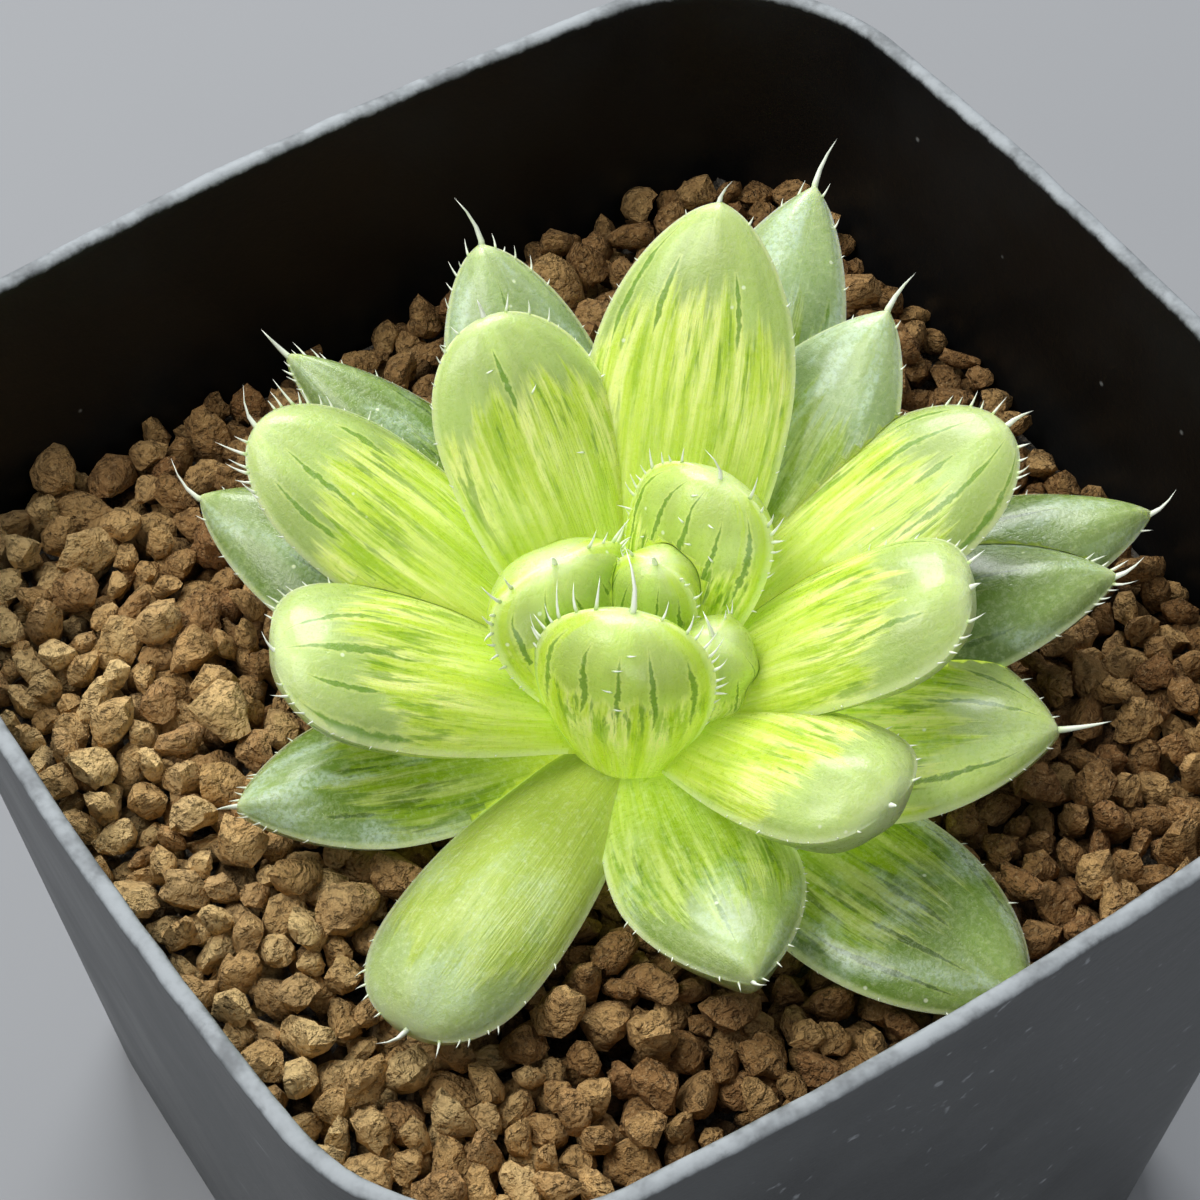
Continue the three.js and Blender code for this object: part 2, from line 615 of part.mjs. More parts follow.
const part = new THREE.Group();

function addPiece(name, solid, material) {
  const mesh = new THREE.Mesh(toGeometry(solid), material);
  mesh.name = name;
  part.add(mesh);
}

const grownStem = stemSolid(GAP);
const leaves = leafSolids(grownStem);
let soil = soilSolid().subtract(grownStem);
for (const leaf of LEAVES) {
  soil = soil.subtract(leafBody(leaf, GAP));
}

addPiece('pot', potSolid(), MATERIALS.pot);
addPiece('soil', soil.simplify(CUT_TOLERANCE), MATERIALS.granules);
addPiece('stem', stemSolid(0), MATERIALS.stem);
LEAVES.forEach((leaf, k) => addPiece(leaf.name, leaves[k], MATERIALS[leaf.tone]));

export default part;
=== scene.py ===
"""Looks for the potted haworthia: a toothed, windowed rosette in baked clay granules in a black square pot.

Shapes are worked out in millimetres in the row frame, as whole numpy arrays, and put into meshes in metres.
"""

import logging
import math
from dataclasses import dataclass, field
from enum import Enum

import bmesh
import bpy
import numpy as np
from mathutils import Matrix, Vector


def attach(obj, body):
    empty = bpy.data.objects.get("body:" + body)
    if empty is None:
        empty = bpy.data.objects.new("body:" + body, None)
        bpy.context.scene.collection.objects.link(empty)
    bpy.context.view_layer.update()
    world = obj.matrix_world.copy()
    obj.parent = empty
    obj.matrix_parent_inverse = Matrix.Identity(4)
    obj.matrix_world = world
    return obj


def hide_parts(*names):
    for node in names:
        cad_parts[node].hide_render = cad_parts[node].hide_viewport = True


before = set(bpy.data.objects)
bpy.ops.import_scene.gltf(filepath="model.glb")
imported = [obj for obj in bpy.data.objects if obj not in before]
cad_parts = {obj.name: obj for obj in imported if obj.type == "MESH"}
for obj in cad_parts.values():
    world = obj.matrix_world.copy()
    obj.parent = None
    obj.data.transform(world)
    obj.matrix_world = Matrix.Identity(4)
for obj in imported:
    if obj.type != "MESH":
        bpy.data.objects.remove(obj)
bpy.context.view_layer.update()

log = logging.getLogger("haworthia")

MM = 0.001
BODY = "root"
Array = np.ndarray
Triple = tuple[float, float, float]
Color = Triple


# ---- Arrays ----


def smooth_step(value: Array, low: float, high: float) -> Array:
    """Rises from 0 at low to 1 at high as 3q^2 - 2q^3, q being the share of the way.

    Args:
        value: The numbers to grade.
        low: Where the rise begins.
        high: Where it ends.

    Returns:
        An array of the same shape, from 0 to 1.
    """
    share = np.clip((value - low) / (high - low), 0, 1)
    return share * share * (3 - 2 * share)


def unit(vectors: Array) -> Array:
    """Scales vectors along the last axis to length 1."""
    return vectors / np.linalg.norm(vectors, axis=-1, keepdims=True)


def random_turns(random: np.random.Generator, count: int) -> Array:
    """Gives even random rotations, each from a random unit quaternion.

    Args:
        random: The source of random numbers.
        count: How many rotations.

    Returns:
        (count, 3, 3) rotation matrices.
    """
    w, x, y, z = unit(random.normal(size=(count, 4))).T
    rows = [
        [1 - 2 * (y * y + z * z), 2 * (x * y - z * w), 2 * (x * z + y * w)],
        [2 * (x * y + z * w), 1 - 2 * (x * x + z * z), 2 * (y * z - x * w)],
        [2 * (x * z - y * w), 2 * (y * z + x * w), 1 - 2 * (x * x + y * y)],
    ]
    return np.array(rows).transpose(2, 0, 1)


@dataclass
class Surface:
    """Points and faces worked out as whole arrays, with numbers for the finishes to read.

    Attributes:
        points: (n, 3) places in millimetres.
        quads: (m, 4) corners of the four-sided faces.
        triangles: (k, 3) corners of the three-sided faces.
        marks: Mesh attribute name to (n, 3) numbers, one row for each point.
        finish: The number of the material on every face.
    """

    points: Array
    quads: Array
    triangles: Array
    marks: dict[str, Array] = field(default_factory=dict)
    finish: int = 0

    @staticmethod
    def tube(rings: Array, first: Array, last: Array) -> "Surface":
        """Skins rings of points and closes both ends on a single point.

        Args:
            rings: (rows, columns, 3) points; every ring runs the same way round.
            first: The point that closes the first ring.
            last: The point that closes the last ring.

        Returns:
            A closed surface whose faces point outwards.
        """
        rows, columns = rings.shape[:2]
        here = np.arange(rows * columns).reshape(rows, columns)
        ahead = np.roll(here, -1, axis=1)
        quads = np.stack([here[:-1], ahead[:-1], ahead[1:], here[1:]], axis=-1).reshape(-1, 4)
        foot, tip = rows * columns, rows * columns + 1
        ends = [
            np.stack([np.full(columns, foot), ahead[0], here[0]], axis=-1),
            np.stack([np.full(columns, tip), here[-1], ahead[-1]], axis=-1),
        ]
        points = np.concatenate([rings.reshape(-1, 3), [first], [last]])
        return Surface(points, quads, np.concatenate(ends)).outward()

    def outward(self) -> "Surface":
        """Turns every face round where the closed surface holds a negative volume.

        Returns:
            The surface itself.
        """
        corners = np.concatenate([self.quads[:, :3], self.quads[:, [0, 2, 3]], self.triangles])
        a, b, c = (self.points[corners[:, k]] for k in range(3))
        if np.einsum("ij,ij->", a, np.cross(b, c)) < 0:
            self.quads, self.triangles = self.quads[:, ::-1], self.triangles[:, ::-1]
        return self

    def marked(self, **marks: Array) -> "Surface":
        """Adds mesh attributes.

        Args:
            marks: Attribute name to a row of three numbers for each point, or to one row for all.

        Returns:
            The surface itself.
        """
        for name, rows in marks.items():
            self.marks[name] = np.broadcast_to(rows, self.points.shape).copy()
        return self

    def part(
        self,
        name: str,
        finishes: list[bpy.types.Material],
        slot: str,
        *nodes: str,
        others: "tuple[Surface, ...]" = (),
    ) -> bpy.types.Object:
        """Puts the surface, and others beside it, into one mesh that rides on the body.

        Args:
            name: The piece's name.
            finishes: Its materials, in the order that finish counts.
            slot: The record's material slot; not used.
            nodes: The CAD nodes that the piece stands for.
            others: More surfaces of the same piece.

        Returns:
            The new object, at the origin.
        """
        surfaces = (self, *others)
        starts = np.cumsum([0, *[len(s.points) for s in surfaces[:-1]]])
        points = np.concatenate([s.points for s in surfaces]) * MM
        loops, sizes, numbers = [], [], []
        for surface, start in zip(surfaces, starts):
            for faces in (surface.quads, surface.triangles):
                loops.append((faces + start).ravel())
                sizes.append(np.full(len(faces), faces.shape[1]))
                numbers.append(np.full(len(faces), surface.finish))
        loops, sizes, numbers = (np.concatenate(x).astype(np.int32) for x in (loops, sizes, numbers))
        mesh = bpy.data.meshes.new(name)
        mesh.vertices.add(len(points))
        mesh.vertices.foreach_set("co", points.astype(np.float32).ravel())
        mesh.loops.add(len(loops))
        mesh.loops.foreach_set("vertex_index", loops)
        mesh.polygons.add(len(sizes))
        mesh.polygons.foreach_set("loop_start", (np.cumsum(sizes) - sizes).astype(np.int32))
        mesh.polygons.foreach_set("material_index", numbers)
        for mark in sorted({m for s in surfaces for m in s.marks}):
            rows = [s.marks.get(mark, np.zeros_like(s.points)) for s in surfaces]
            attribute = mesh.attributes.new(mark, "FLOAT_VECTOR", "POINT")
            attribute.data.foreach_set("vector", np.concatenate(rows).astype(np.float32).ravel())
        mesh.update(calc_edges=True)
        mesh.validate()
        mesh.shade_smooth()
        for finish in finishes:
            mesh.materials.append(finish)
        piece = bpy.data.objects.new(name, mesh)
        bpy.context.scene.collection.objects.link(piece)
        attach(piece, BODY)
        if nodes:
            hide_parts(*nodes)
        return piece


def bake_modifiers(piece: bpy.types.Object) -> None:
    """Puts a piece's modifiers into its own mesh and takes them off.

    Args:
        piece: The piece, whose mesh is replaced.
    """
    graph = bpy.context.evaluated_depsgraph_get()
    mesh = bpy.data.meshes.new_from_object(piece.evaluated_get(graph), depsgraph=graph)
    piece.modifiers.clear()
    piece.data = mesh


def cut_away(piece: bpy.types.Object, tools: list[bpy.types.Object], solver: str = "EXACT") -> None:
    """Cuts closed tools out of a closed piece and bakes the result.

    Args:
        piece: The piece that loses the tools' space.
        tools: Closed meshes, which stay in the file.
        solver: The boolean modifier's way of working.
    """
    for tool in tools:
        cut = piece.modifiers.new("cut", "BOOLEAN")
        cut.operation, cut.solver, cut.object = "DIFFERENCE", solver, tool
    bpy.context.view_layer.update()
    bake_modifiers(piece)


# ---- Shader nodes ----

Socket = bpy.types.NodeSocket


class Graph:
    """A short way to lay shader nodes in one material or one group."""

    def __init__(self, tree: bpy.types.NodeTree) -> None:
        """Keeps the tree that the nodes go into."""
        self.tree = tree

    def node(self, kind: str, *values: object, **settings: object) -> bpy.types.Node:
        """Adds a node and feeds its inputs.

        Args:
            kind: The node's kind, such as "TexNoise".
            values: What its inputs get, from the first on.
            settings: Its own properties.

        Returns:
            The node.
        """
        made = self.tree.nodes.new("ShaderNode" + kind)
        for name, value in settings.items():
            setattr(made, name, value)
        for socket, value in zip(made.inputs, values):
            self.put(socket, value)
        return made

    def put(self, socket: Socket, value: object) -> None:
        """Links a socket to an input, or sets the input to a plain value.

        Args:
            socket: The input.
            value: A socket, a number, or a color or vector of three numbers.
        """
        if isinstance(value, Socket):
            self.tree.links.new(value, socket)
        elif isinstance(value, tuple) and socket.type == "RGBA":
            socket.default_value = (*value[:3], 1.0)
        else:
            socket.default_value = value

    def dress(self, made: bpy.types.Node, **values: object) -> bpy.types.Node:
        """Feeds a node's inputs by name.

        Args:
            made: The node.
            values: Input name, in small letters and with _ for a space, to what it gets.

        Returns:
            The same node.
        """
        for name, value in values.items():
            self.put(made.inputs[name.replace("_", " ").title().replace("Ior", "IOR")], value)
        return made

    def math(self, operation: str, *values: object, clamp: bool = False) -> Socket:
        """One step of arithmetic on up to three numbers or sockets."""
        return self.node("Math", *values, operation=operation, use_clamp=clamp).outputs[0]

    def times(self, one: object, other: object) -> Socket:
        """One number times another."""
        return self.math("MULTIPLY", one, other)

    def plus(self, one: object, other: object) -> Socket:
        """One number plus another."""
        return self.math("ADD", one, other)

    def minus(self, one: object, other: object) -> Socket:
        """One number less another."""
        return self.math("SUBTRACT", one, other)

    def line(self, value: object, slope: object, start: object) -> Socket:
        """The number value * slope + start."""
        return self.math("MULTIPLY_ADD", value, slope, start)

    def vector(self, operation: str, *values: object) -> Socket:
        """One step of arithmetic on vectors."""
        return self.node("VectorMath", *values, operation=operation).outputs[0]

    def mix(self, factor: object, one: object, other: object) -> Socket:
        """A color between two others.

        Args:
            factor: The share of the second color.
            one: The first color.
            other: The second color.

        Returns:
            The mixed color.
        """
        made = self.node("Mix", factor, data_type="RGBA")
        for index, value in ((6, one), (7, other)):
            self.put(made.inputs[index], value)
        return made.outputs[2]

    def rise(self, value: Socket, low: object, high: object, start: float = 0.0, end: float = 1.0) -> Socket:
        """A smooth step of value from start, at low, to end, at high."""
        inputs = (value, low, high, start, end)
        return self.node("MapRange", *inputs, interpolation_type="SMOOTHSTEP").outputs[0]

    def noise(
        self, place: Socket, scale: object, detail: float = 2.0, rough: float = 0.5, warp: float = 0.0
    ) -> Socket:
        """Cloudy noise at a place, about 0.5 on average."""
        inputs = {"scale": scale, "detail": detail, "roughness": rough, "distortion": warp}
        return self.dress(self.node("TexNoise"), vector=place, **inputs).outputs[0]

    def cells(self, place: Socket, scale: object) -> bpy.types.Node:
        """Cells at a place, with their Distance and a random Color each."""
        return self.dress(self.node("TexVoronoi"), vector=place, scale=scale)

    def split(self, vector: Socket) -> list[Socket]:
        """The three numbers of a vector."""
        return list(self.node("SeparateXYZ", vector).outputs)

    def join(self, *numbers: object) -> Socket:
        """A vector of three numbers."""
        return self.node("CombineXYZ", *numbers).outputs[0]

    def mark(self, name: str) -> Socket:
        """A mesh attribute as a vector."""
        return self.node("Attribute", attribute_name=name).outputs["Vector"]

    def place(self) -> Socket:
        """The point's place on the object, in metres."""
        return self.node("TexCoord").outputs["Object"]

    def bump(self, height: Socket, strength: float, distance: float) -> Socket:
        """A normal tilted by a height map."""
        made = self.node("Bump")
        return self.dress(made, height=height, strength=strength, distance=distance).outputs[0]

    def effect(self, tree: bpy.types.NodeTree, **values: object) -> bpy.types.Node:
        """Places a shared effect and feeds its inputs by name."""
        return self.dress(self.node("Group", node_tree=tree), **values)


def new_effect(
    name: str, inputs: dict[str, object], outputs: list[str]
) -> tuple[bpy.types.NodeTree, Graph, dict[str, Socket], dict[str, Socket]]:
    """Opens a node group with named inputs and outputs.

    Args:
        name: The effect's name.
        inputs: Input name to its usual value: None for a vector, a number for a float.
        outputs: The names of its float outputs.

    Returns:
        The group, a graph to lay its nodes, and its input and output sockets by name.
    """
    tree = bpy.data.node_groups.new(name, "ShaderNodeTree")
    for title, value in inputs.items():
        kind = "NodeSocketVector" if value is None else "NodeSocketFloat"
        socket = tree.interface.new_socket(title, in_out="INPUT", socket_type=kind)
        if value is not None:
            socket.default_value = value
    for title in outputs:
        tree.interface.new_socket(title, in_out="OUTPUT", socket_type="NodeSocketFloat")
    graph = Graph(tree)
    start, end = tree.nodes.new("NodeGroupInput"), tree.nodes.new("NodeGroupOutput")
    return tree, graph, dict(start.outputs.items()), dict(end.inputs.items())


class Effects:
    """The effects that several materials share, each built once as a node group."""

    def __init__(self) -> None:
        """Builds every effect."""
        self.streaks = self.make_streaks()
        self.veins = self.make_veins()
        self.specks = self.make_specks()
        self.grain = self.make_grain()
        self.scuffs = self.make_scuffs()

    @staticmethod
    def make_streaks() -> bpy.types.NodeTree:
        """Streaks that run along a leaf: noise stretched along it, above a threshold.

        Returns:
            A group from a leaf map to a mask.
        """
        tree, g, given, out = new_effect(
            "lengthwise streaks",
            {"Map": None, "Count": 6.0, "Stretch": 1.3, "Shift": 0.0, "Low": 0.5, "High": 0.62},
            ["Mask"],
        )
        across, along, seed = g.split(given["Map"])
        place = g.join(
            g.times(across, given["Count"]),
            g.times(along, given["Stretch"]),
            g.plus(g.times(seed, 9.7), given["Shift"]),
        )
        streak = g.noise(place, 1.0, 3.0, 0.62, 0.35)
        barbs = g.noise(g.vector("MULTIPLY", place, g.join(2.1, 5.5, 1.0)), 1.0, 2.0, 0.6)
        streak = g.line(g.minus(barbs, 0.5), 0.16, streak)
        g.put(out["Mask"], g.rise(streak, given["Low"], given["High"]))
        return tree

    @staticmethod
    def make_veins() -> bpy.types.NodeTree:
        """Thin lines along a leaf, some of them missing, each with its own start and end.

        A line lies where the distance from across * count + offset to the next half is under the width,
        which narrows towards both ends of the line. The halo is the pale seam along both of its sides.

        Returns:
            A group from a leaf map to two masks.
        """
        tree, g, given, out = new_effect(
            "thin veins",
            {
                "Map": None, "Count": 2.5, "Offset": 0.0, "Wander": 0.5, "Width": 0.1, "Share": 0.6,
                "Start": 0.5, "End": 0.9,
            },
            ["Mask", "Halo"],
        )
        across, along, seed = g.split(given["Map"])
        spot = g.join(g.times(across, 1.6), g.times(along, 4.2), g.times(seed, 5.1))
        cloud = g.noise(spot, 1.0, 1.5, 0.45)
        wander = g.times(g.minus(cloud, 0.5), given["Wander"])
        lane = g.plus(g.line(across, given["Count"], wander), given["Offset"])
        number = g.math("FLOOR", lane)
        off = g.math("ABSOLUTE", g.minus(g.math("FRACT", lane), 0.5))
        chance = g.node("TexWhiteNoise", noise_dimensions="2D")
        g.put(chance.inputs["Vector"], g.join(number, seed, 0.0))
        random = g.split(chance.outputs["Color"])
        start = g.line(random[0], 0.16, given["Start"])
        end = g.line(random[1], -0.16, given["End"])
        middle = g.times(g.plus(start, end), 0.5)
        half = g.times(g.minus(end, start), 0.5)
        reach = g.math("DIVIDE", g.math("ABSOLUTE", g.minus(along, middle)), half)
        taper = g.math("SUBTRACT", 1.0, g.times(reach, reach), clamp=True)
        frayed = g.noise(g.join(g.times(across, 14.0), g.times(along, 34.0), seed), 1.0, 2.0, 0.6)
        wide = g.times(g.times(given["Width"], taper), g.rise(frayed, 0.3, 0.7, 0.6, 1.5))
        inside = g.minus(wide, off)
        chosen = g.math("LESS_THAN", random[2], given["Share"])
        there = g.times(chosen, g.math("GREATER_THAN", taper, 0.0))
        g.put(out["Mask"], g.times(g.rise(inside, -0.012, 0.03), there))
        g.put(out["Halo"], g.times(g.rise(inside, -0.09, -0.02), there))
        return tree

    @staticmethod
    def make_specks() -> bpy.types.NodeTree:
        """Small round dots, one in some of the cells of a random net.

        Returns:
            A group from a place to a mask.
        """
        tree, g, given, out = new_effect(
            "small dots", {"Place": None, "Scale": 900.0, "Radius": 0.16, "Share": 0.3}, ["Mask"]
        )
        cells = g.cells(given["Place"], given["Scale"])
        dot = g.minus(given["Radius"], cells.outputs["Distance"])
        chosen = g.math("LESS_THAN", g.split(cells.outputs["Color"])[0], given["Share"])
        g.put(out["Mask"], g.times(g.rise(dot, 0.0, 0.08), chosen))
        return tree

    @staticmethod
    def make_grain() -> bpy.types.NodeTree:
        """Rough ground: broad lumps, creases where folded noise passes its middle, fine grit and pits.

        Returns:
            A group from a place to a height and a mask of the pits.
        """
        tree, g, given, out = new_effect(
            "rough grain", {"Place": None, "Scale": 900.0, "Pits": 0.5}, ["Height", "Hollow"]
        )
        place, scale = given["Place"], given["Scale"]
        lumps = g.noise(place, scale, 5.0, 0.68, 0.5)
        fold = g.noise(place, g.times(scale, 0.75), 2.0, 0.5, 0.8)
        crease = g.rise(g.math("ABSOLUTE", g.minus(fold, 0.5)), 0.11, 0.0)
        ridge = g.cells(place, g.times(scale, 1.6)).outputs["Distance"]
        grit = g.noise(place, g.times(scale, 4.5), 3.0, 0.7)
        hollow = g.rise(g.noise(place, g.times(scale, 2.6), 3.0, 0.65), 0.5, 0.28)
        height = g.line(ridge, -0.35, lumps)
        height = g.line(crease, -0.2, g.line(grit, 0.45, height))
        g.put(out["Height"], g.minus(height, g.times(hollow, given["Pits"])))
        g.put(out["Hollow"], hollow)
        return tree

    @staticmethod
    def make_scuffs() -> bpy.types.NodeTree:
        """Light scratches and dust: short stretched flecks where broad noise allows them.

        Returns:
            A group from a place to a mask.
        """
        tree, g, given, out = new_effect("scuffs", {"Place": None, "Scale": 900.0, "Amount": 0.5}, ["Mask"])
        turned = g.node("Mapping")
        turned.inputs["Rotation"].default_value = (0.5, 0.35, 0.8)
        turned.inputs["Scale"].default_value = (1.0, 0.22, 1.0)
        g.put(turned.inputs["Vector"], given["Place"])
        flecks = g.noise(turned.outputs[0], given["Scale"], 2.0, 0.6)
        broad = g.noise(given["Place"], 70.0, 2.0, 0.6)
        level = g.line(broad, 0.35, flecks)
        g.put(out["Mask"], g.times(g.rise(level, 0.86, 0.98), given["Amount"]))
        return tree


def new_material(name: str) -> tuple[bpy.types.Material, Graph, bpy.types.Node]:
    """Makes a material with a Principled shader on its output.

    Args:
        name: The material's name.

    Returns:
        The material, a graph to lay its nodes, and the shader.
    """
    material = bpy.data.materials.new(name)
    material.use_nodes = True
    graph = Graph(material.node_tree)
    return material, graph, material.node_tree.nodes["Principled BSDF"]


# ---- Finishes ----


class LeafLayers:
    """What the layers of one leaf finish share: the leaf map's numbers, streaks and raggedness."""

    def __init__(self, graph: Graph, effects: Effects) -> None:
        """Reads the leaf map and the place in one material.

        Args:
            graph: The material's graph.
            effects: The shared effects.
        """
        self.graph, self.effects = graph, effects
        self.map, self.place = graph.mark("leaf_map"), graph.place()
        self.across, self.along, self.seed = graph.split(self.map)
        self.edge = graph.math("ABSOLUTE", self.across)

    def streaks(self, count: float, stretch: float, shift: float, low: float, high: float) -> Socket:
        """One use of the shared streaks.

        Args:
            count: How many lie across the leaf.
            stretch: How often one breaks along it.
            shift: Picks another set.
            low: The noise level where a streak begins.
            high: Where it is full.

        Returns:
            The mask.
        """
        used = self.graph.effect(
            self.effects.streaks, map=self.map, count=count, stretch=stretch, shift=shift, low=low, high=high
        )
        return used.outputs[0]

    def ragged(self, count: float, stretch: float) -> Socket:
        """Noise about zero that changes fast across the leaf and slowly along it.

        Args:
            count: Its scale across the leaf.
            stretch: Its scale along it.

        Returns:
            The noise.
        """
        g = self.graph
        spot = g.join(g.times(self.across, count), g.times(self.along, stretch), g.times(self.seed, 3.7))
        return g.minus(g.noise(spot, 1.0, 3.0, 0.6, 0.3), 0.5)


@dataclass(frozen=True)
class LeafFinish:
    """A juicy variegated leaf: a streaky green part, a ragged border of flames, and a clear window.

    Colors are linear. The leaf map gives across, from -1 to 1, along, from 0 to 1, and a seed.

    Attributes:
        name: The material's name.
        foot: Color at the leaf's foot.
        body: Color of its middle.
        cream: The pale flames.
        green: The green streaks.
        window: The see-through end.
        vein: The dark lines in the window.
        contrast: How strong the flames and the streaks are, from 0 to 1.
        border: Where the window begins, along the leaf.
        arch: How much sooner it begins at the margins.
        ragged: How far the border jumps back and forth.
        vein_share: How many of the vein lines are there.
        vein_offset: Shifts the vein lines sideways; None takes the leaf's own seed.
        vein_reach: How far they reach down and up from the border.
        silver: How strongly the skin is mottled with silvery cells.
        painted_sheen: How strongly broad patches of pale grainy cells near the tip are painted in as a
            reflection of light, partly the leaf's own silvery streaks.
        hem: How far the body's color runs along both margins, beside the window.
        coat: The gloss of the wax on the skin.
        roughness: Of the skin.
        painted_glow: Painted light: emission that stands in for the light coming through the flesh from
            behind, fading towards the tip.
    """

    name: str
    foot: Color
    body: Color
    cream: Color
    green: Color
    window: Color
    vein: Color
    contrast: float = 1.0
    border: float = 0.7
    arch: float = 0.12
    ragged: float = 0.3
    vein_share: float = 0.5
    vein_offset: float | None = None
    vein_reach: tuple[float, float] = (0.16, 0.24)
    silver: float = 0.12
    painted_sheen: float = 0.0
    hem: float = 0.0
    coat: float = 0.4
    roughness: float = 0.32
    painted_glow: float = 0.1

    def flesh(self, leaf: LeafLayers, reach: Socket) -> Socket:
        """The streaky part: foot to body, soft fibres, flames, green dashes and dark lines near the border.

        Args:
            leaf: What the layers share.
            reach: How far along the ragged leaf a point lies.

        Returns:
            The color.
        """
        g, full = leaf.graph, self.contrast
        near = g.rise(reach, self.border - 0.42, self.border - 0.08)
        color = g.mix(g.rise(leaf.along, 0.04, 0.42), self.foot, self.body)
        color = g.mix(g.times(leaf.streaks(9.0, 1.4, 3.1, 0.38, 0.7), 0.42 * full), color, self.green)
        color = g.mix(g.times(leaf.streaks(13.0, 1.8, 5.3, 0.42, 0.72), 0.4 * full), color, self.cream)
        flames = g.times(leaf.streaks(5.0, 1.7, 0.0, 0.44, 0.6), g.rise(near, 0.0, 1.0, 0.25, 1.0))
        color = g.mix(g.times(flames, 0.92 * full), color, self.cream)
        dashes = g.times(leaf.streaks(9.0, 3.6, 7.7, 0.5, 0.64), g.rise(near, 0.0, 1.0, 0.1, 1.0))
        color = g.mix(g.times(dashes, 0.75 * full), color, self.green)
        deep = g.times(leaf.streaks(11.0, 4.4, 11.3, 0.53, 0.64), g.times(near, near))
        return g.mix(g.times(deep, 0.7 * full), color, self.vein)

    def glazed(self, leaf: LeafLayers, color: Socket, window: Socket) -> Socket:
        """Lays the milky window over the flesh, paler towards the tip, with a pale seam along its border.

        Args:
            leaf: What the layers share.
            color: The flesh.
            window: The window's mask.

        Returns:
            The color.
        """
        g = leaf.graph
        spot = g.join(leaf.across, g.times(leaf.along, 2.0), leaf.seed)
        milk = g.rise(g.noise(spot, 1.7, 2.0), 0.35, 0.7)
        darker, lighter = (tuple(min(c * k, 1.0) for c in self.window) for k in (0.86, 1.16))
        clear = g.mix(milk, darker, lighter)
        clear = g.mix(g.rise(leaf.along, self.border, 1.0, 0.0, 0.3), clear, (0.72, 0.84, 0.4))
        color = g.mix(g.times(window, 0.93), color, clear)
        seam = g.times(window, g.minus(1.0, window))
        return g.mix(g.times(seam, 0.9 * self.contrast), color, self.cream)

    def veined(self, leaf: LeafLayers, color: Socket) -> Socket:
        """Draws the dark vein lines across the border, with a pale seam beside each.

        Args:
            leaf: What the layers share.
            color: The flesh and the window.

        Returns:
            The color.
        """
        g = leaf.graph
        down, up = self.vein_reach
        veins = g.effect(
            leaf.effects.veins, map=leaf.map, count=2.4, wander=0.45, width=0.085, share=self.vein_share,
            offset=leaf.seed if self.vein_offset is None else self.vein_offset,
            start=self.border - down, end=self.border + up,
        )
        color = g.mix(g.times(veins.outputs["Halo"], 0.25), color, self.cream)
        return g.mix(g.times(veins.outputs["Mask"], 0.8), color, self.vein)

    def skinned(self, leaf: LeafLayers, color: Socket, cells: Socket) -> Socket:
        """Lays marks over the color: the skin's silvery cells, pale dots and pale margins, a painted
        reflection in broad patches near the tip, and a painted highlight on the tip.

        Args:
            leaf: What the layers share.
            color: The flesh, the window and the veins.
            cells: Fine noise.

        Returns:
            The color.
        """
        g = leaf.graph
        color = g.mix(g.times(g.rise(cells, 0.5, 0.68), self.silver), color, (0.74, 0.84, 0.5))
        color = g.mix(g.times(g.rise(cells, 0.46, 0.3), self.silver * 1.2), color, self.green)
        # Painted reflection: broad patches of pale grainy cells near the tip, partly the leaf's own silvery
        # streaks.
        spot = g.join(g.line(leaf.across, 1.5, 2.0), g.times(leaf.along, 3.6), leaf.seed)
        painted_sheen_patch = g.rise(g.noise(spot, 1.0, 3.0, 0.55, 0.4), 0.47, 0.64)
        painted_sheen_patch = g.times(painted_sheen_patch, g.rise(leaf.along, 0.3, 0.55))
        crisp = g.rise(g.noise(leaf.place, 3200.0, 3.0, 0.7), 0.38, 0.58, 0.35, 1.0)
        color = g.mix(g.times(g.times(painted_sheen_patch, crisp), self.painted_sheen), color, (0.64, 0.79, 0.64))
        dots = g.effect(leaf.effects.specks, place=leaf.place, scale=900.0, radius=0.15, share=0.08)
        dotted = g.times(dots.outputs[0], g.rise(leaf.along, 0.5, 0.7))
        color = g.mix(g.times(dotted, 0.7), color, (0.88, 0.95, 0.74))
        color = g.mix(g.rise(leaf.edge, 0.955, 0.999, 0.0, 0.6), color, (0.76, 0.9, 0.42))
        # Painted highlight: the tip is lightened.
        return g.mix(g.rise(leaf.along, 0.955, 1.0, 0.0, 0.5), color, (0.78, 0.9, 0.5))

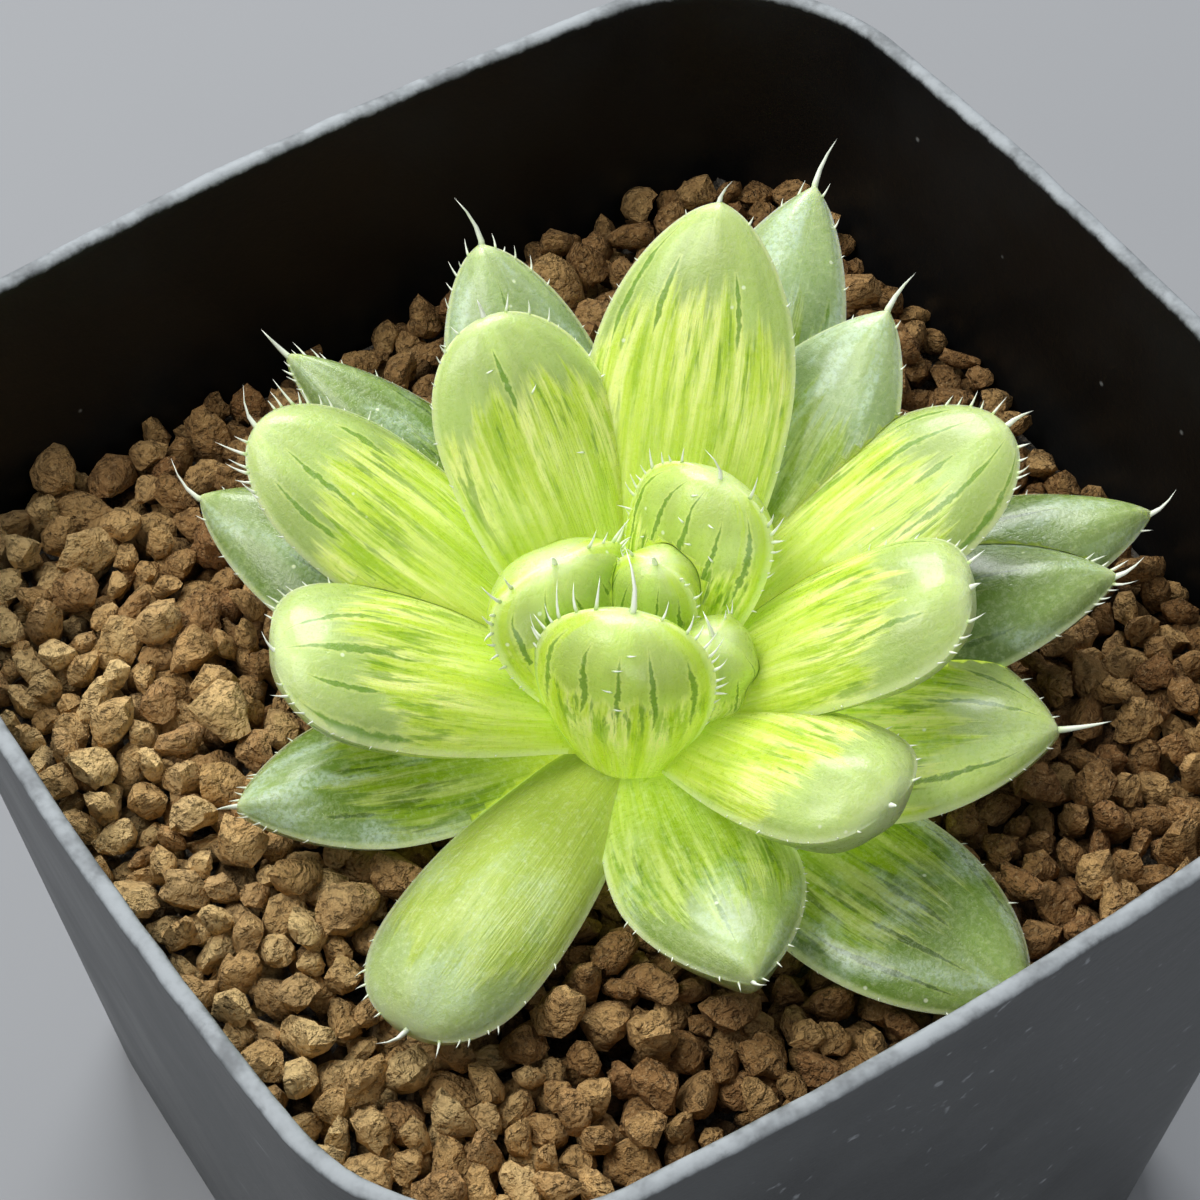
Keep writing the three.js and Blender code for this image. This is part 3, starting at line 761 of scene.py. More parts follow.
    def build(self, effects: Effects) -> bpy.types.Material:
        """Lays flesh, window, hem, veins and skin over one another, and gives the skin its gloss, its relief
        and painted light from within.

        The window lies where along + arch * across^2 + ragged * noise passes border.

        Args:
            effects: The shared effects.

        Returns:
            The material.
        """
        material, g, shader = new_material(self.name)
        leaf = LeafLayers(g, effects)
        jag = g.line(leaf.ragged(17.0, 5.0), 0.45, leaf.ragged(5.5, 1.6))
        arched = g.line(g.times(leaf.across, leaf.across), self.arch, leaf.along)
        reach = g.line(jag, self.ragged, arched)
        window = g.rise(reach, self.border - 0.01, self.border + 0.06)
        cells = g.noise(leaf.place, 2300.0, 3.0, 0.75)
        color = self.glazed(leaf, self.flesh(leaf, reach), window)
        color = g.mix(g.rise(g.plus(leaf.edge, jag), 0.72, 0.95, 0.0, self.hem), color, self.body)
        color = self.skinned(leaf, self.veined(leaf, color), cells)
        fibres = g.times(leaf.streaks(20.0, 3.0, 1.9, 0.2, 0.8), g.minus(1.1, window))
        g.dress(
            shader,
            base_color=color,
            # Painted light: emission stands in for light shining through the flesh from behind, fading
            # towards the tip.
            emission_color=g.mix(g.rise(leaf.along, 0.2, 0.95), color, (0.0, 0.0, 0.0)),
            emission_strength=self.painted_glow,
            normal=g.bump(g.line(cells, 0.9, fibres), 0.45, 0.00025),
            roughness=g.rise(cells, 0.3, 0.7, self.roughness - 0.08, self.roughness + 0.1),
            subsurface_weight=0.7,
            subsurface_radius=(0.9, 1.0, 0.25),
            subsurface_scale=0.0018,
            ior=1.42,
            specular_ior_level=0.45,
            coat_weight=self.coat,
            coat_roughness=0.17,
        )
        return material


@dataclass(frozen=True)
class BristleFinish:
    """Clear, whitish teeth and bristles, greener towards the root."""

    root: Color = (0.62, 0.8, 0.32)
    tip: Color = (0.9, 0.95, 0.82)

    def build(self) -> bpy.types.Material:
        """Grades the color along each tooth by the mark that tells how far out a point lies.

        Returns:
            The material.
        """
        material, g, shader = new_material("clear bristle")
        out = g.split(g.mark("leaf_map"))[1]
        rough = g.rise(g.noise(g.place(), 3000.0), 0.3, 0.7, 0.26, 0.4)
        g.dress(shader, base_color=g.mix(g.rise(out, 0.0, 0.4), self.root, self.tip), roughness=rough)
        return material


@dataclass(frozen=True)
class ClayFinish:
    """Dry baked clay, each granule with its own tone, with painted sunlight towards the left and painted
    shade in its pits and deep between the granules.

    Attributes:
        palest_and_painted_sunlight: The palest granules, and the painted sunlight that makes the granules
            towards the left paler.
        pale: The light ones.
        mid: The usual brown.
        rust: A redder brown.
        dark: Inside the pits.
        odd: A few grey granules.
        odd_share: How many of those there are.
        dust: The pale dust on every granule.
        shadow: Deep down between the granules.
    """

    palest_and_painted_sunlight: Color = (1.0, 0.72, 0.33)
    pale: Color = (0.7, 0.44, 0.175)
    mid: Color = (0.34, 0.185, 0.065)
    rust: Color = (0.32, 0.15, 0.055)
    # dark: Painted shade inside the pits.
    dark: Color = (0.08, 0.036, 0.014)
    odd: Color = (0.15, 0.14, 0.12)
    odd_share: float = 0.0016
    dust: Color = (0.8, 0.56, 0.28)
    shadow: Color = (0.03, 0.014, 0.006)

    def build(self, effects: Effects) -> bpy.types.Material:
        """Lays a tone for each granule, made paler towards the left by painted sunlight, blotches, painted
        shade in the pits, dust, painted shade deep in the gaps and a rough, pitted relief.

        Args:
            effects: The shared effects.

        Returns:
            The material.
        """
        material, g, shader = new_material("baked clay")
        place = g.place()
        # The first number is a random tone plus painted sunlight towards the left.
        shade, other, seed = g.split(g.mark("granule"))
        apart = g.vector("ADD", place, g.join(seed, other, 0.0))
        grain = g.effect(effects.grain, place=apart, scale=750.0, pits=0.45)
        blotch = g.noise(apart, 420.0, 3.0, 0.6)
        tone = g.line(blotch, 0.9, g.line(shade, 0.85, -0.5))
        color = g.mix(g.rise(tone, 0.05, 0.75), self.mid, self.pale)
        # Painted sunlight: the palest color, mostly on the granules towards the left.
        color = g.mix(g.rise(tone, 0.65, 1.25, 0.0, 0.95), color, self.palest_and_painted_sunlight)
        color = g.mix(g.times(g.rise(other, 0.6, 1.0), 0.5), color, self.rust)
        color = g.mix(g.math("LESS_THAN", other, self.odd_share), color, self.odd)
        # Painted shade in the pits.
        color = g.mix(g.times(grain.outputs["Hollow"], 0.45), color, self.dark)
        dusty = g.rise(g.noise(apart, 3400.0, 3.0, 0.75), 0.52, 0.68)
        color = g.mix(g.times(dusty, 0.4), color, self.dust)
        # Painted shade: points deep below the bed's top are darkened.
        depth = g.split(g.mark("depth"))[0]
        color = g.mix(g.rise(depth, 0.9, 2.8, 0.0, 0.85), color, self.shadow)
        relief = g.bump(grain.outputs["Height"], 1.0, 0.0008)
        rough = g.rise(blotch, 0.3, 0.7, 0.82, 0.96)
        g.dress(shader, base_color=color, normal=relief, roughness=rough, specular_ior_level=0.25)
        return material


@dataclass(frozen=True)
class PotFinish:
    """Black moulded plastic, pale along the rim from wear and a painted reflection, with light scuffs and
    dust, and with painted light that greys the outside.

    Attributes:
        black: The darkest plastic.
        grey: The lightest inside.
        painted_outside_light: Painted light that makes the outside walls a lighter grey than the inside.
        worn: The rim's pale grey, partly wear and partly a painted reflection of light glancing off it.
        scuff: The scratches on the outside.
        fleck: The small dots of dust.
        rim_from: The height, in metres, where the rim's wear and painted reflection begin.
        rim_to: Where it is full.
    """

    black: Color = (0.004, 0.0042, 0.0045)
    grey: Color = (0.008, 0.0085, 0.009)
    painted_outside_light: Color = (0.078, 0.083, 0.086)
    worn: Color = (0.33, 0.36, 0.38)
    scuff: Color = (0.3, 0.32, 0.34)
    fleck: Color = (0.4, 0.42, 0.42)
    rim_from: float = 0.06555
    rim_to: float = 0.06595

    def build(self, effects: Effects) -> bpy.types.Material:
        """Lays broad grey clouds, painted light that greys the outside, scuffs, specks, and the pale rim by
        height, which is wear and painted reflection.

        Args:
            effects: The shared effects.

        Returns:
            The material.
        """
        material, g, shader = new_material("black plastic")
        place = g.place()
        height = g.split(place)[2]
        cloud = g.noise(place, 60.0, 3.0, 0.6)
        color = g.mix(g.rise(cloud, 0.35, 0.7), self.black, self.grey)
        outside = g.split(g.mark("outside"))[0]
        # Painted light: the outer walls are lighter than the inside.
        color = g.mix(g.times(outside, g.rise(cloud, 0.3, 0.7, 0.6, 1.0)), color, self.painted_outside_light)
        scuffs = g.effect(effects.scuffs, place=place, scale=900.0, amount=0.55)
        color = g.mix(g.times(scuffs.outputs[0], outside), color, self.scuff)
        specks = g.effect(effects.specks, place=place, scale=420.0, radius=0.1, share=0.06)
        color = g.mix(g.times(specks.outputs[0], 0.4), color, self.fleck)
        nibble = g.noise(place, 700.0, 4.0, 0.7)
        level = g.line(g.minus(nibble, 0.5), 0.0007, height)
        rim = g.rise(level, self.rim_from, self.rim_to)
        patchy = g.rise(g.noise(place, 260.0, 4.0, 0.7), 0.3, 0.6, 0.45, 1.0)
        # The pale rim is partly wear and partly a painted reflection.
        color = g.mix(g.times(rim, patchy), color, self.worn)
        rough = g.line(rim, 0.15, g.rise(cloud, 0.3, 0.7, 0.36, 0.5))
        ripple = g.bump(g.line(g.noise(place, 120.0, 2.0), 2.0, nibble), 0.25, 0.00025)
        g.dress(shader, base_color=color, roughness=rough, normal=ripple, specular_ior_level=0.3)
        return material


@dataclass(frozen=True)
class RootFinish:
    """Pale flesh of the stem and the roots, with earthy stains."""

    flesh: Color = (0.55, 0.55, 0.3)
    stain: Color = (0.25, 0.17, 0.08)

    def build(self, effects: Effects) -> bpy.types.Material:
        """Mixes stains into the flesh by rough grain and wrinkles it slightly.

        Args:
            effects: The shared effects.

        Returns:
            The material.
        """
        material, g, shader = new_material("pale root")
        grain = g.effect(effects.grain, place=g.place(), scale=500.0, pits=0.3)
        color = g.mix(g.times(grain.outputs["Hollow"], 0.6), self.flesh, self.stain)
        height = grain.outputs["Height"]
        rough = g.rise(height, 0.0, 1.0, 0.5, 0.7)
        g.dress(shader, base_color=color, normal=g.bump(height, 0.4, 0.0003), roughness=rough)
        return material


@dataclass(frozen=True)
class FloorFinish:
    """A plain pale floor."""

    color: Color = (0.26, 0.27, 0.285)

    def build(self) -> bpy.types.Material:
        """Gives the floor an even pale color with a hardly visible mottle.

        Returns:
            The material.
        """
        material, g, shader = new_material("pale floor")
        mottle = g.noise(g.place(), 30.0, 3.0)
        lighter = tuple(c * 1.04 for c in self.color)
        g.dress(shader, base_color=g.mix(mottle, self.color, lighter), roughness=0.7)
        return material


# ---- The pot ----


@dataclass
class NurseryPot:
    """The thin square pot: a rounded square that bulges slightly, tapers downward and has a raised floor.

    Lengths are in millimetres.

    Attributes:
        height: From the ground to the rim.
        rim_half_side: Half a side at the rim, before its bulge.
        taper: How much the half side shrinks for each millimetre down.
        corner_radius: Of the rim's corners.
        rim_bow: The bulge of a side at the rim, as a share.
        foot_bow: The same at the foot.
        wall: The wall's thickness.
        foot_chamfer: The bevel round the foot.
        foot_ring: Width of the ring that the pot stands on.
        floor_underside: Height of the raised floor's underside.
        floor_top: Height of its top.
        slot_length: Length of a drain slot.
        slot_width: Its width.
        slot_distance: Its middle's distance from the pot's axis.
        side_steps: Points along a side.
        corner_steps: Points round a corner.
        burr: How rough the rim is.
        sharp_from: Edges that bend by more degrees than this stay sharp.
    """

    height: float = 66.0
    rim_half_side: float = 35.7
    taper: float = 0.09
    corner_radius: float = 11.6
    rim_bow: float = 0.064
    foot_bow: float = 0.02
    wall: float = 1.0
    foot_chamfer: float = 0.8
    foot_ring: float = 4.0
    floor_underside: float = 1.5
    floor_top: float = 2.9
    slot_length: float = 13.0
    slot_width: float = 3.0
    slot_distance: float = 14.0
    side_steps: int = 22
    corner_steps: int = 16
    burr: float = 0.07
    sharp_from: float = 50.0

    def outline(self, half: Array, radius: Array, bow: Array) -> Array:
        """Rounded squares whose sides bulge: x' = x(1 + bow(1 - (y/half)^2)), and y' in the same way.

        Args:
            half: (rows,) half side at the corners, in millimetres.
            radius: (rows,) corner radius.
            bow: (rows,) share that the middle of a side bulges by.

        Returns:
            (rows, columns, 2) points, counter-clockwise.
        """
        side = np.arange(self.side_steps) / self.side_steps * 2 - 1
        angle = np.arange(self.corner_steps) / self.corner_steps * np.pi / 2
        inner = np.concatenate([
            np.stack([np.ones_like(side), side], axis=1),
            np.ones((self.corner_steps, 2)),
        ])
        normal = np.concatenate([
            np.tile([1.0, 0.0], (self.side_steps, 1)),
            np.stack([np.cos(angle), np.sin(angle)], axis=1),
        ])
        turns = [np.array([[c, -s], [s, c]]) for c, s in ((1, 0), (0, 1), (-1, 0), (0, -1))]
        inner = np.concatenate([inner @ turn.T for turn in turns])
        normal = np.concatenate([normal @ turn.T for turn in turns])
        half, radius, bow = (np.asarray(x, float)[:, None, None] for x in (half, radius, bow))
        flat = (half - radius) * inner + radius * normal
        return flat * (1 + bow * (1 - (flat[..., ::-1] / half) ** 2))

    def rings(self, profile: Array) -> Array:
        """Carries a profile round the pot.

        Args:
            profile: (rows, 3) height, inset from the outer skin, and a scale towards the middle.

        Returns:
            (rows, columns, 3) points.
        """
        height, inset, scale = profile.T
        half = self.rim_half_side - self.taper * (self.height - height)
        radius = self.corner_radius * half / self.rim_half_side
        bow = self.foot_bow + (self.rim_bow - self.foot_bow) * height / self.height
        flat = self.outline(half - inset, radius - inset, bow) * scale[:, None, None]
        level = np.broadcast_to(height[:, None, None], (*flat.shape[:2], 1))
        return np.concatenate([flat, level], axis=-1)

    def profile(self) -> Array:
        """The closed section: from the middle underneath, up outside, over the rim and down inside.

        Returns:
            (rows, 3) height, inset from the outer skin, and a scale towards the middle.
        """
        top, wall = self.height, self.wall
        lip = np.linspace(0, np.pi, 9)
        centre, reach = wall / 2, wall / 2
        rim = [(top - 0.3 + 0.3 * math.sin(a), centre - reach * math.cos(a), 1.0) for a in lip]
        up = [(z, 0.0, 1.0) for z in np.linspace(self.foot_chamfer, top - 0.9, 26)]
        down = [(z, wall, 1.0) for z in np.linspace(top - 0.9, self.floor_top + 0.5, 20)]
        under, above = self.floor_underside, self.floor_top
        rows = [(under, self.foot_ring, s) for s in (0.3, 0.6, 0.85, 1.0)]
        rows += [(0.0, self.foot_ring, 1.0), (0.0, self.foot_chamfer, 1.0), (0.25, 0.25, 1.0)]
        rows += up + rim + down
        rows += [(above, wall + 0.5, s) for s in (1.0, 0.85, 0.6, 0.3)]
        return np.array(rows)

    def worn(self, rings: Array) -> Array:
        """Nibbles the rim: outward and upward by burr times a sum of waves, fading 1.2 mm below the top.

        Args:
            rings: (rows, columns, 3) points of the pot's skin.

        Returns:
            The same points, moved.
        """
        random = np.random.default_rng(5)
        angle = np.arctan2(rings[..., 1], rings[..., 0])
        waves = sum(
            np.sin(n * angle + random.uniform(0, 6.28)) * random.uniform(0.3, 1.0)
            for n in (9, 17, 26, 41, 58, 77)
        ) / 2.5
        nearness = smooth_step(rings[..., 2], self.height - 1.2, self.height - 0.2)
        outward = np.stack([np.cos(angle), np.sin(angle), 0.6 + 0 * angle], axis=-1)
        return rings + outward * (waves * nearness * self.burr)[..., None]

    def slots(self) -> list[bpy.types.Object]:
        """Makes cutters for the drain slots, round-ended prisms that stand on the diagonals.

        Returns:
            The four cutters.
        """
        tools = []
        angle = np.linspace(0, 2 * np.pi, 24, endpoint=False)
        half, radius = self.slot_length / 2, self.slot_width / 2
        ends = np.sign(np.cos(angle) + 1e-9) * (half - radius)
        flat = np.stack([ends + radius * np.cos(angle), radius * np.sin(angle)], axis=-1)
        for k in range(4):
            turn = (k + 0.5) * math.pi / 2
            c, s = math.cos(turn), math.sin(turn)
            placed = (flat + [self.slot_distance, 0]) @ np.array([[c, s], [-s, c]])
            rings = np.stack([np.column_stack([placed, np.full(24, z)]) for z in (-2.0, 10.0)])
            middle = rings.mean(axis=1)
            tools.append(Surface.tube(rings, middle[0], middle[1]).part(f"slot_cutter_{k}", [], "pot"))
        return tools

    def build(self, effects: Effects) -> bpy.types.Object:
        """Skins the pot, cuts its drain slots and dresses it.

        Args:
            effects: The shared effects.

        Returns:
            The pot.
        """
        profile = self.profile()
        rings = self.worn(self.rings(profile))
        skin = Surface.tube(rings, np.array([0, 0, self.floor_underside]), np.array([0, 0, self.floor_top]))
        outside = np.append(np.repeat(profile[:, 1] < 0.3, rings.shape[1]), [False, False]).astype(float)
        skin = skin.marked(outside=np.stack([outside, 0 * outside, 0 * outside], axis=-1))
        pot = skin.part("pot_shell", [PotFinish().build(effects)], "pot", "pot")
        tools = self.slots()
        cut_away(pot, tools, "MANIFOLD")
        for tool in tools:
            bpy.data.objects.remove(tool)
        pot.data.set_sharp_from_angle(angle=math.radians(self.sharp_from))
        return pot

    def depth_inside(self, points: Array) -> tuple[Array, Array]:
        """How far points lie inside the inner wall, by the distance to a rounded square.

        The bulge is first taken out of the points, and the way in is the square's inward normal.

        Args:
            points: (n, 3) places.

        Returns:
            (n,) distances, positive inside, and (n, 2) unit directions that lead inward.
        """
        half = self.rim_half_side - self.taper * (self.height - points[:, 2])
        bow = self.foot_bow + (self.rim_bow - self.foot_bow) * points[:, 2] / self.height
        flat = points[:, :2]
        flat = flat / (1 + bow[:, None] * np.clip(1 - (flat[:, ::-1] / half[:, None]) ** 2, 0, 1))
        radius = self.corner_radius * half / self.rim_half_side
        beyond = np.abs(flat) - (half - radius)[:, None]
        corner = np.maximum(beyond, 0)
        length = np.linalg.norm(corner, axis=1)
        distance = length + np.minimum(beyond.max(axis=1), 0) - radius
        side = (beyond >= beyond.max(axis=1, keepdims=True)).astype(float)
        way = np.where(length[:, None] > 1e-6, corner, side)
        return -distance - self.wall, -unit(way * np.sign(flat) + 1e-12)


# ---- The plant ----

STEM, UP = np.array([-2.4, -5.0, 0.0]), np.array([0.0, 0.0, 1.0])
AWN_SUNK, AWN_RADIUS = 0.7, 0.26


class Tone(Enum):
    """The kinds of leaf color: each one's name, and the record's material slot that it belongs to."""

    BRIGHT = ("bright", "leaf_bright")
    HEART = ("heart", "leaf_bright")
    GREY = ("grey", "leaf_grey")
    GREEN = ("green", "leaf_green")
    # LIME and MOSS are lighter copies of GREEN and DARK for leaves that lie in shade.
    LIME = ("lime", "leaf_green")
    PALE = ("pale", "leaf_green")
    DARK = ("dark", "leaf_dark")
    MOSS = ("moss", "leaf_dark")

    @property
    def slot(self) -> str:
        """The material slot in the record."""
        return self.value[1]


@dataclass(frozen=True)
class LeafForm:
    """The proportions of a kind of leaf.

    Attributes:
        fullest: Where the leaf is widest, along its length.
        foot: The foot's width, as a share of the full width.
        curve: How late the outline turns in towards the tip.
        bluntness: How blunt the tip is.
        up: Thickness above the middle, in millimetres.
        down: Thickness below it.
    """

    fullest: float
    foot: float
    curve: float
    bluntness: float
    up: float
    down: float


POINTED = LeafForm(0.56, 0.55, 2.0, 1.18, 1.7, 2.6)
SLENDER = LeafForm(0.58, 0.53, 2.05, 1.42, 1.8, 2.7)
OVAL = LeafForm(0.66, 0.52, 2.3, 1.9, 2.0, 2.8)
BLUNT = LeafForm(0.68, 0.52, 2.7, 2.4, 2.4, 3.2)
YOUNG = LeafForm(0.62, 0.58, 2.6, 2.2, 2.0, 2.8)


@dataclass(frozen=True)
class Bristles:
    """Curved, tapering bristles: centre = root + direction * L q + bend * L q^2, radius = r (1 - q)^0.8."""

    sides: int = 5
    steps: int = 4

    def build(
        self, root: Array, direction: Array, bend: Array, length: Array, radius: Array
    ) -> Surface:
        """Grows one bristle at each root.

        Args:
            root: (n, 3) starting points.
            direction: (n, 3) unit directions at the root.
            bend: (n, 3) how far the tip is carried aside, as a share of the length.
            length: (n,) lengths.
            radius: (n,) radii at the root.

        Returns:
            One surface of n closed shells, whose leaf_map holds the share of the way out second.
        """
        count = len(root)
        share = np.arange(self.steps) / self.steps
        turn = np.arange(self.sides) / self.sides * 2 * np.pi
        helper = np.where(np.abs(direction[:, 2:]) < 0.9, [[0.0, 0.0, 1.0]], [[1.0, 0.0, 0.0]])
        side = unit(np.cross(direction, helper))
        other = np.cross(direction, side)

        def centre(q: Array) -> Array:
            """Centre points at the shares q, as (n, len(q), 3)."""
            way = direction[:, None] * q[None, :, None] + bend[:, None] * (q**2)[None, :, None]
            return root[:, None] + way * length[:, None, None]

        ring = side[:, None] * np.cos(turn)[None, :, None] + other[:, None] * np.sin(turn)[None, :, None]
        width = radius[:, None] * (1 - share)[None, :] ** 0.8
        rings = centre(share)[:, :, None] + ring[:, None] * width[:, :, None, None]
        tip, foot = centre(np.array([1.0])), centre(np.array([0.0]))
        points = np.concatenate([rings.reshape(count, -1, 3), foot, tip], axis=1)
        here = np.arange(self.steps * self.sides).reshape(self.steps, self.sides)
        ahead = np.roll(here, -1, axis=1)
        quads = np.stack([here[:-1], here[1:], ahead[1:], ahead[:-1]], axis=-1).reshape(-1, 4)
        base, top = self.steps * self.sides, self.steps * self.sides + 1
        ends = np.concatenate([
            np.stack([np.full(self.sides, base), here[0], ahead[0]], axis=-1),
            np.stack([np.full(self.sides, top), ahead[-1], here[-1]], axis=-1),
        ])
        starts = (np.arange(count) * points.shape[1])[:, None, None]
        out = np.concatenate([np.repeat(share, self.sides), [0.0, 1.0]])
        marks = np.tile(np.stack([0 * out, out, 0 * out], axis=-1), (count, 1))
        surface = Surface(
            points.reshape(-1, 3),
            (quads[None] + starts).reshape(-1, 4),
            (ends[None] + starts).reshape(-1, 3),
        )
        return surface.outward().marked(leaf_map=marks)


@dataclass(frozen=True)
class Leaf:
    """One leaf of the rosette, on a middle line that leaves the stem and bends evenly.

    Attributes:
        node: The CAD node that it stands for, and its own name.
        form: Its proportions.
        tone: Its kind of color.
        turn: The heading of its foot, degrees from +X.
        bend: How far the heading changes to the tip.
        rise: Its slope at the foot and at the tip, degrees.
        out: How far from the stem's axis it starts, in millimetres.
        level: The height that it starts at.
        length: Along its middle line.
        width: At its fullest.
        awn: Length of the bristle on its tip.
        teeth: Small teeth on each margin.
        comb: Long, curved teeth on each margin near the tip.
        tooth: Length of the longest teeth.
        comb_from: Where the long teeth begin, along the leaf.
        keel: Short bristles lying across the middle of its back.
        fleck: Short bristles lying on its face near the tip.
    """

    node: str
    form: LeafForm
    tone: Tone
    turn: float
    bend: float
    rise: tuple[float, float]
    out: float
    level: float
    length: float
    width: float
    awn: float
    teeth: int = 9
    comb: int = 4
    tooth: float = 0.9
    comb_from: float = 0.9
    keel: int = 0
    fleck: int = 0

    @property
    def seed(self) -> int:
        """A number of its own, from its name."""
        return sum(ord(letter) * (k + 3) for k, letter in enumerate(self.node))

    def axes(self, share: Array) -> tuple[Array, Array, Array]:
        """The along, across and up directions; slope and heading change evenly with the share.

        Args:
            share: (n,) shares of the length.

        Returns:
            Three (n, 3) arrays of unit vectors.
        """
        rise = np.radians(self.rise[0] + (self.rise[1] - self.rise[0]) * share)
        turn = np.radians(self.turn + self.bend * share)
        along = np.stack([np.cos(rise) * np.cos(turn), np.cos(rise) * np.sin(turn), np.sin(rise)], axis=-1)
        across = np.stack([-np.sin(turn), np.cos(turn), 0 * turn], axis=-1)
        return along, across, np.cross(along, across)

    def middle(self, share: Array) -> Array:
        """The middle line: the foot plus the integral of the along direction times the length.

        Args:
            share: (n,) shares of the length.

        Returns:
            (n, 3) points.
        """
        fine = (np.arange(240) + 0.5) / 240
        steps = np.cumsum(self.axes(fine)[0], axis=0)
        walked = np.concatenate([np.zeros((1, 3)), steps]) * self.length / 240
        marks = np.arange(241) / 240
        turn = math.radians(self.turn)
        foot = STEM + [self.out * math.cos(turn), self.out * math.sin(turn), self.level]
        return foot + np.stack([np.interp(share, marks, walked[:, k]) for k in range(3)], axis=-1)

    def half_width(self, share: Array) -> Array:
        """Swells from the foot on a sine to the 1.3rd power, then closes as (1 - u^curve)^(1/bluntness).

        Args:
            share: (n,) shares of the length.

        Returns:
            (n,) half widths.
        """
        form = self.form
        swell = np.sin(np.pi / 2 * np.clip(share / form.fullest, 0, 1)) ** 1.3
        beyond = np.clip((share - form.fullest) / (1 - form.fullest), 0, 1)
        closing = (1 - beyond**form.curve) ** (1 / form.bluntness)
        return self.width / 2 * np.where(share < form.fullest, form.foot + (1 - form.foot) * swell, closing)

    def thickness(self, share: Array) -> Array:
        """Half at the foot, full at 0.72 of the length, and round at the tip.

        Args:
            share: (n,) shares of the length.

        Returns:
            (n,) shares of the form's thickness.
        """
        beyond = np.clip((share - 0.72) / 0.28, 0, 1)
        rising = 0.5 + 0.5 * np.sin(np.pi / 2 * np.clip(share / 0.72, 0, 1))
        return np.where(share < 0.72, rising, (1 - beyond**2.2) ** (1 / 2.2))

    def at(self, share: Array, angle: Array, grow: float = 0.0) -> Array:
        """Points of the skin.

        A section's point is middle + across * half width * cos v + up * thickness * sign(sin v)|sin v|^1.25,
        where v is the angle, 0 at one margin and pi at the other. A thin flange draws the margins out, and
        slow waves of a tenth of a millimetre keep the skin from looking machined.

        Args:
            share: (...) shares of the length.
            angle: (...) section angles of the same shape.
            grow: How far outside the skin the points lie, in millimetres.

        Returns:
            (..., 3) points.
        """
        flat, turn = share.ravel(), angle.ravel()
        _, across, up = self.axes(flat)
        sine, cosine = np.sin(turn), np.cos(turn)
        height = np.sign(sine) * np.abs(sine) ** 1.25
        depth = np.where(height > 0, self.form.up, self.form.down) * self.thickness(flat) + grow
        wide = self.half_width(flat) + grow
        phase = self.seed % 7
        wave = 0.1 * np.sin(flat * 9 + turn * 2 + phase) * np.sin(turn * 3 + flat * 5 + 2 * phase)
        flange = 0.16 * np.exp(-((sine / 0.1) ** 2)) * smooth_step(wide, 0.0, 1.5)
        points = self.middle(flat) + across * ((wide + flange) * cosine)[:, None]
        points += up * (depth * height * (1 + wave))[:, None]
        return points.reshape(*share.shape, 3)

    def body(self, rows: int = 58, columns: int = 48, grow: float = 0.0) -> Surface:
        """The leaf without its teeth, marked with the leaf map.

        Args:
            rows: Sections along the leaf.
            columns: Points round a section.
            grow: How much larger it is on every side, in millimetres.

        Returns:
            A closed surface.
        """
        station = 1 - (1 - np.arange(rows) / rows) ** 1.6
        angle = np.arange(columns) / columns * 2 * np.pi
        share, turn = np.meshgrid(station, angle, indexing="ij")
        ends = self.middle(np.array([0.0, 1.0]))
        along = self.axes(np.array([0.0, 1.0]))[0] * grow
        surface = Surface.tube(self.at(share, turn, grow), ends[0] - along[0], ends[1] + along[1])
        across = np.concatenate([np.cos(turn).ravel(), [0.0, 0.0]])
        along = np.concatenate([share.ravel(), [0.0, 1.0]])
        seed = np.full(len(along), (self.seed % 97) / 9.7)
        return surface.marked(leaf_map=np.stack([across, along, seed], axis=-1))

    def margin_spines(
        self, share: Array, side: Array, length: Array, random: np.random.Generator
    ) -> tuple[Array, ...]:
        """Teeth on the margins: they lean towards the tip by 15 degrees low down and by 65 at the tip.

        Args:
            share: (n,) places along the leaf.
            side: (n,) -1 or 1 for the margin.
            length: (n,) lengths in millimetres.
            random: The source of random numbers.

        Returns:
            Root, direction, bend, length and radius, for Bristles.
        """
        count = len(share)
        along, across, up = self.axes(share)
        lean = np.radians(15 + 50 * smooth_step(share, 0.72, 1.0) + random.normal(0, 10, count))
        outward = across * side[:, None]
        direction = outward * np.cos(lean)[:, None] + along * np.sin(lean)[:, None]
        direction += up * random.uniform(-0.15, 0.4, (count, 1))
        root = self.middle(share) + outward * (self.half_width(share) - 0.08)[:, None]
        bend = along * random.uniform(0.0, 0.8, (count, 1)) + up * random.uniform(-0.1, 0.6, (count, 1))
        bend += outward * random.uniform(-0.3, 0.1, (count, 1))
        radius = 0.065 + 0.06 * np.minimum(length, 1.3)
        return root, unit(direction), bend, length, radius

    def skin_spines(self, number: int, face: float, random: np.random.Generator) -> tuple[Array, ...]:
        """Short bristles across the leaf's back or scattered on its face, from 0.55 of its length on.

        Args:
            number: How many.
            face: The section angle that they stand at, -pi / 2 for the back and pi / 2 for the face.
            random: The source of random numbers.

        Returns:
            Root, direction, bend, length and radius, for Bristles.
        """
        share = 0.55 + 0.4 * (np.arange(number) + random.uniform(0.2, 0.8, number)) / number
        angle = face + random.normal(0, 0.5 if face > 0 else 0.05, number)
        along, across, up = self.axes(share)
        away = up * np.sign(face)
        start = self.at(share, angle) - away * 0.05
        sideways = np.sign(random.normal(size=(number, 1))) * (1.0 if face < 0 else 0.6)
        direction = across * sideways + away * 0.45 + along * random.uniform(-0.2, 0.6, (number, 1))
        return start, unit(direction), -away * 0.35, random.uniform(0.5, 0.9, number), np.full(number, 0.085)

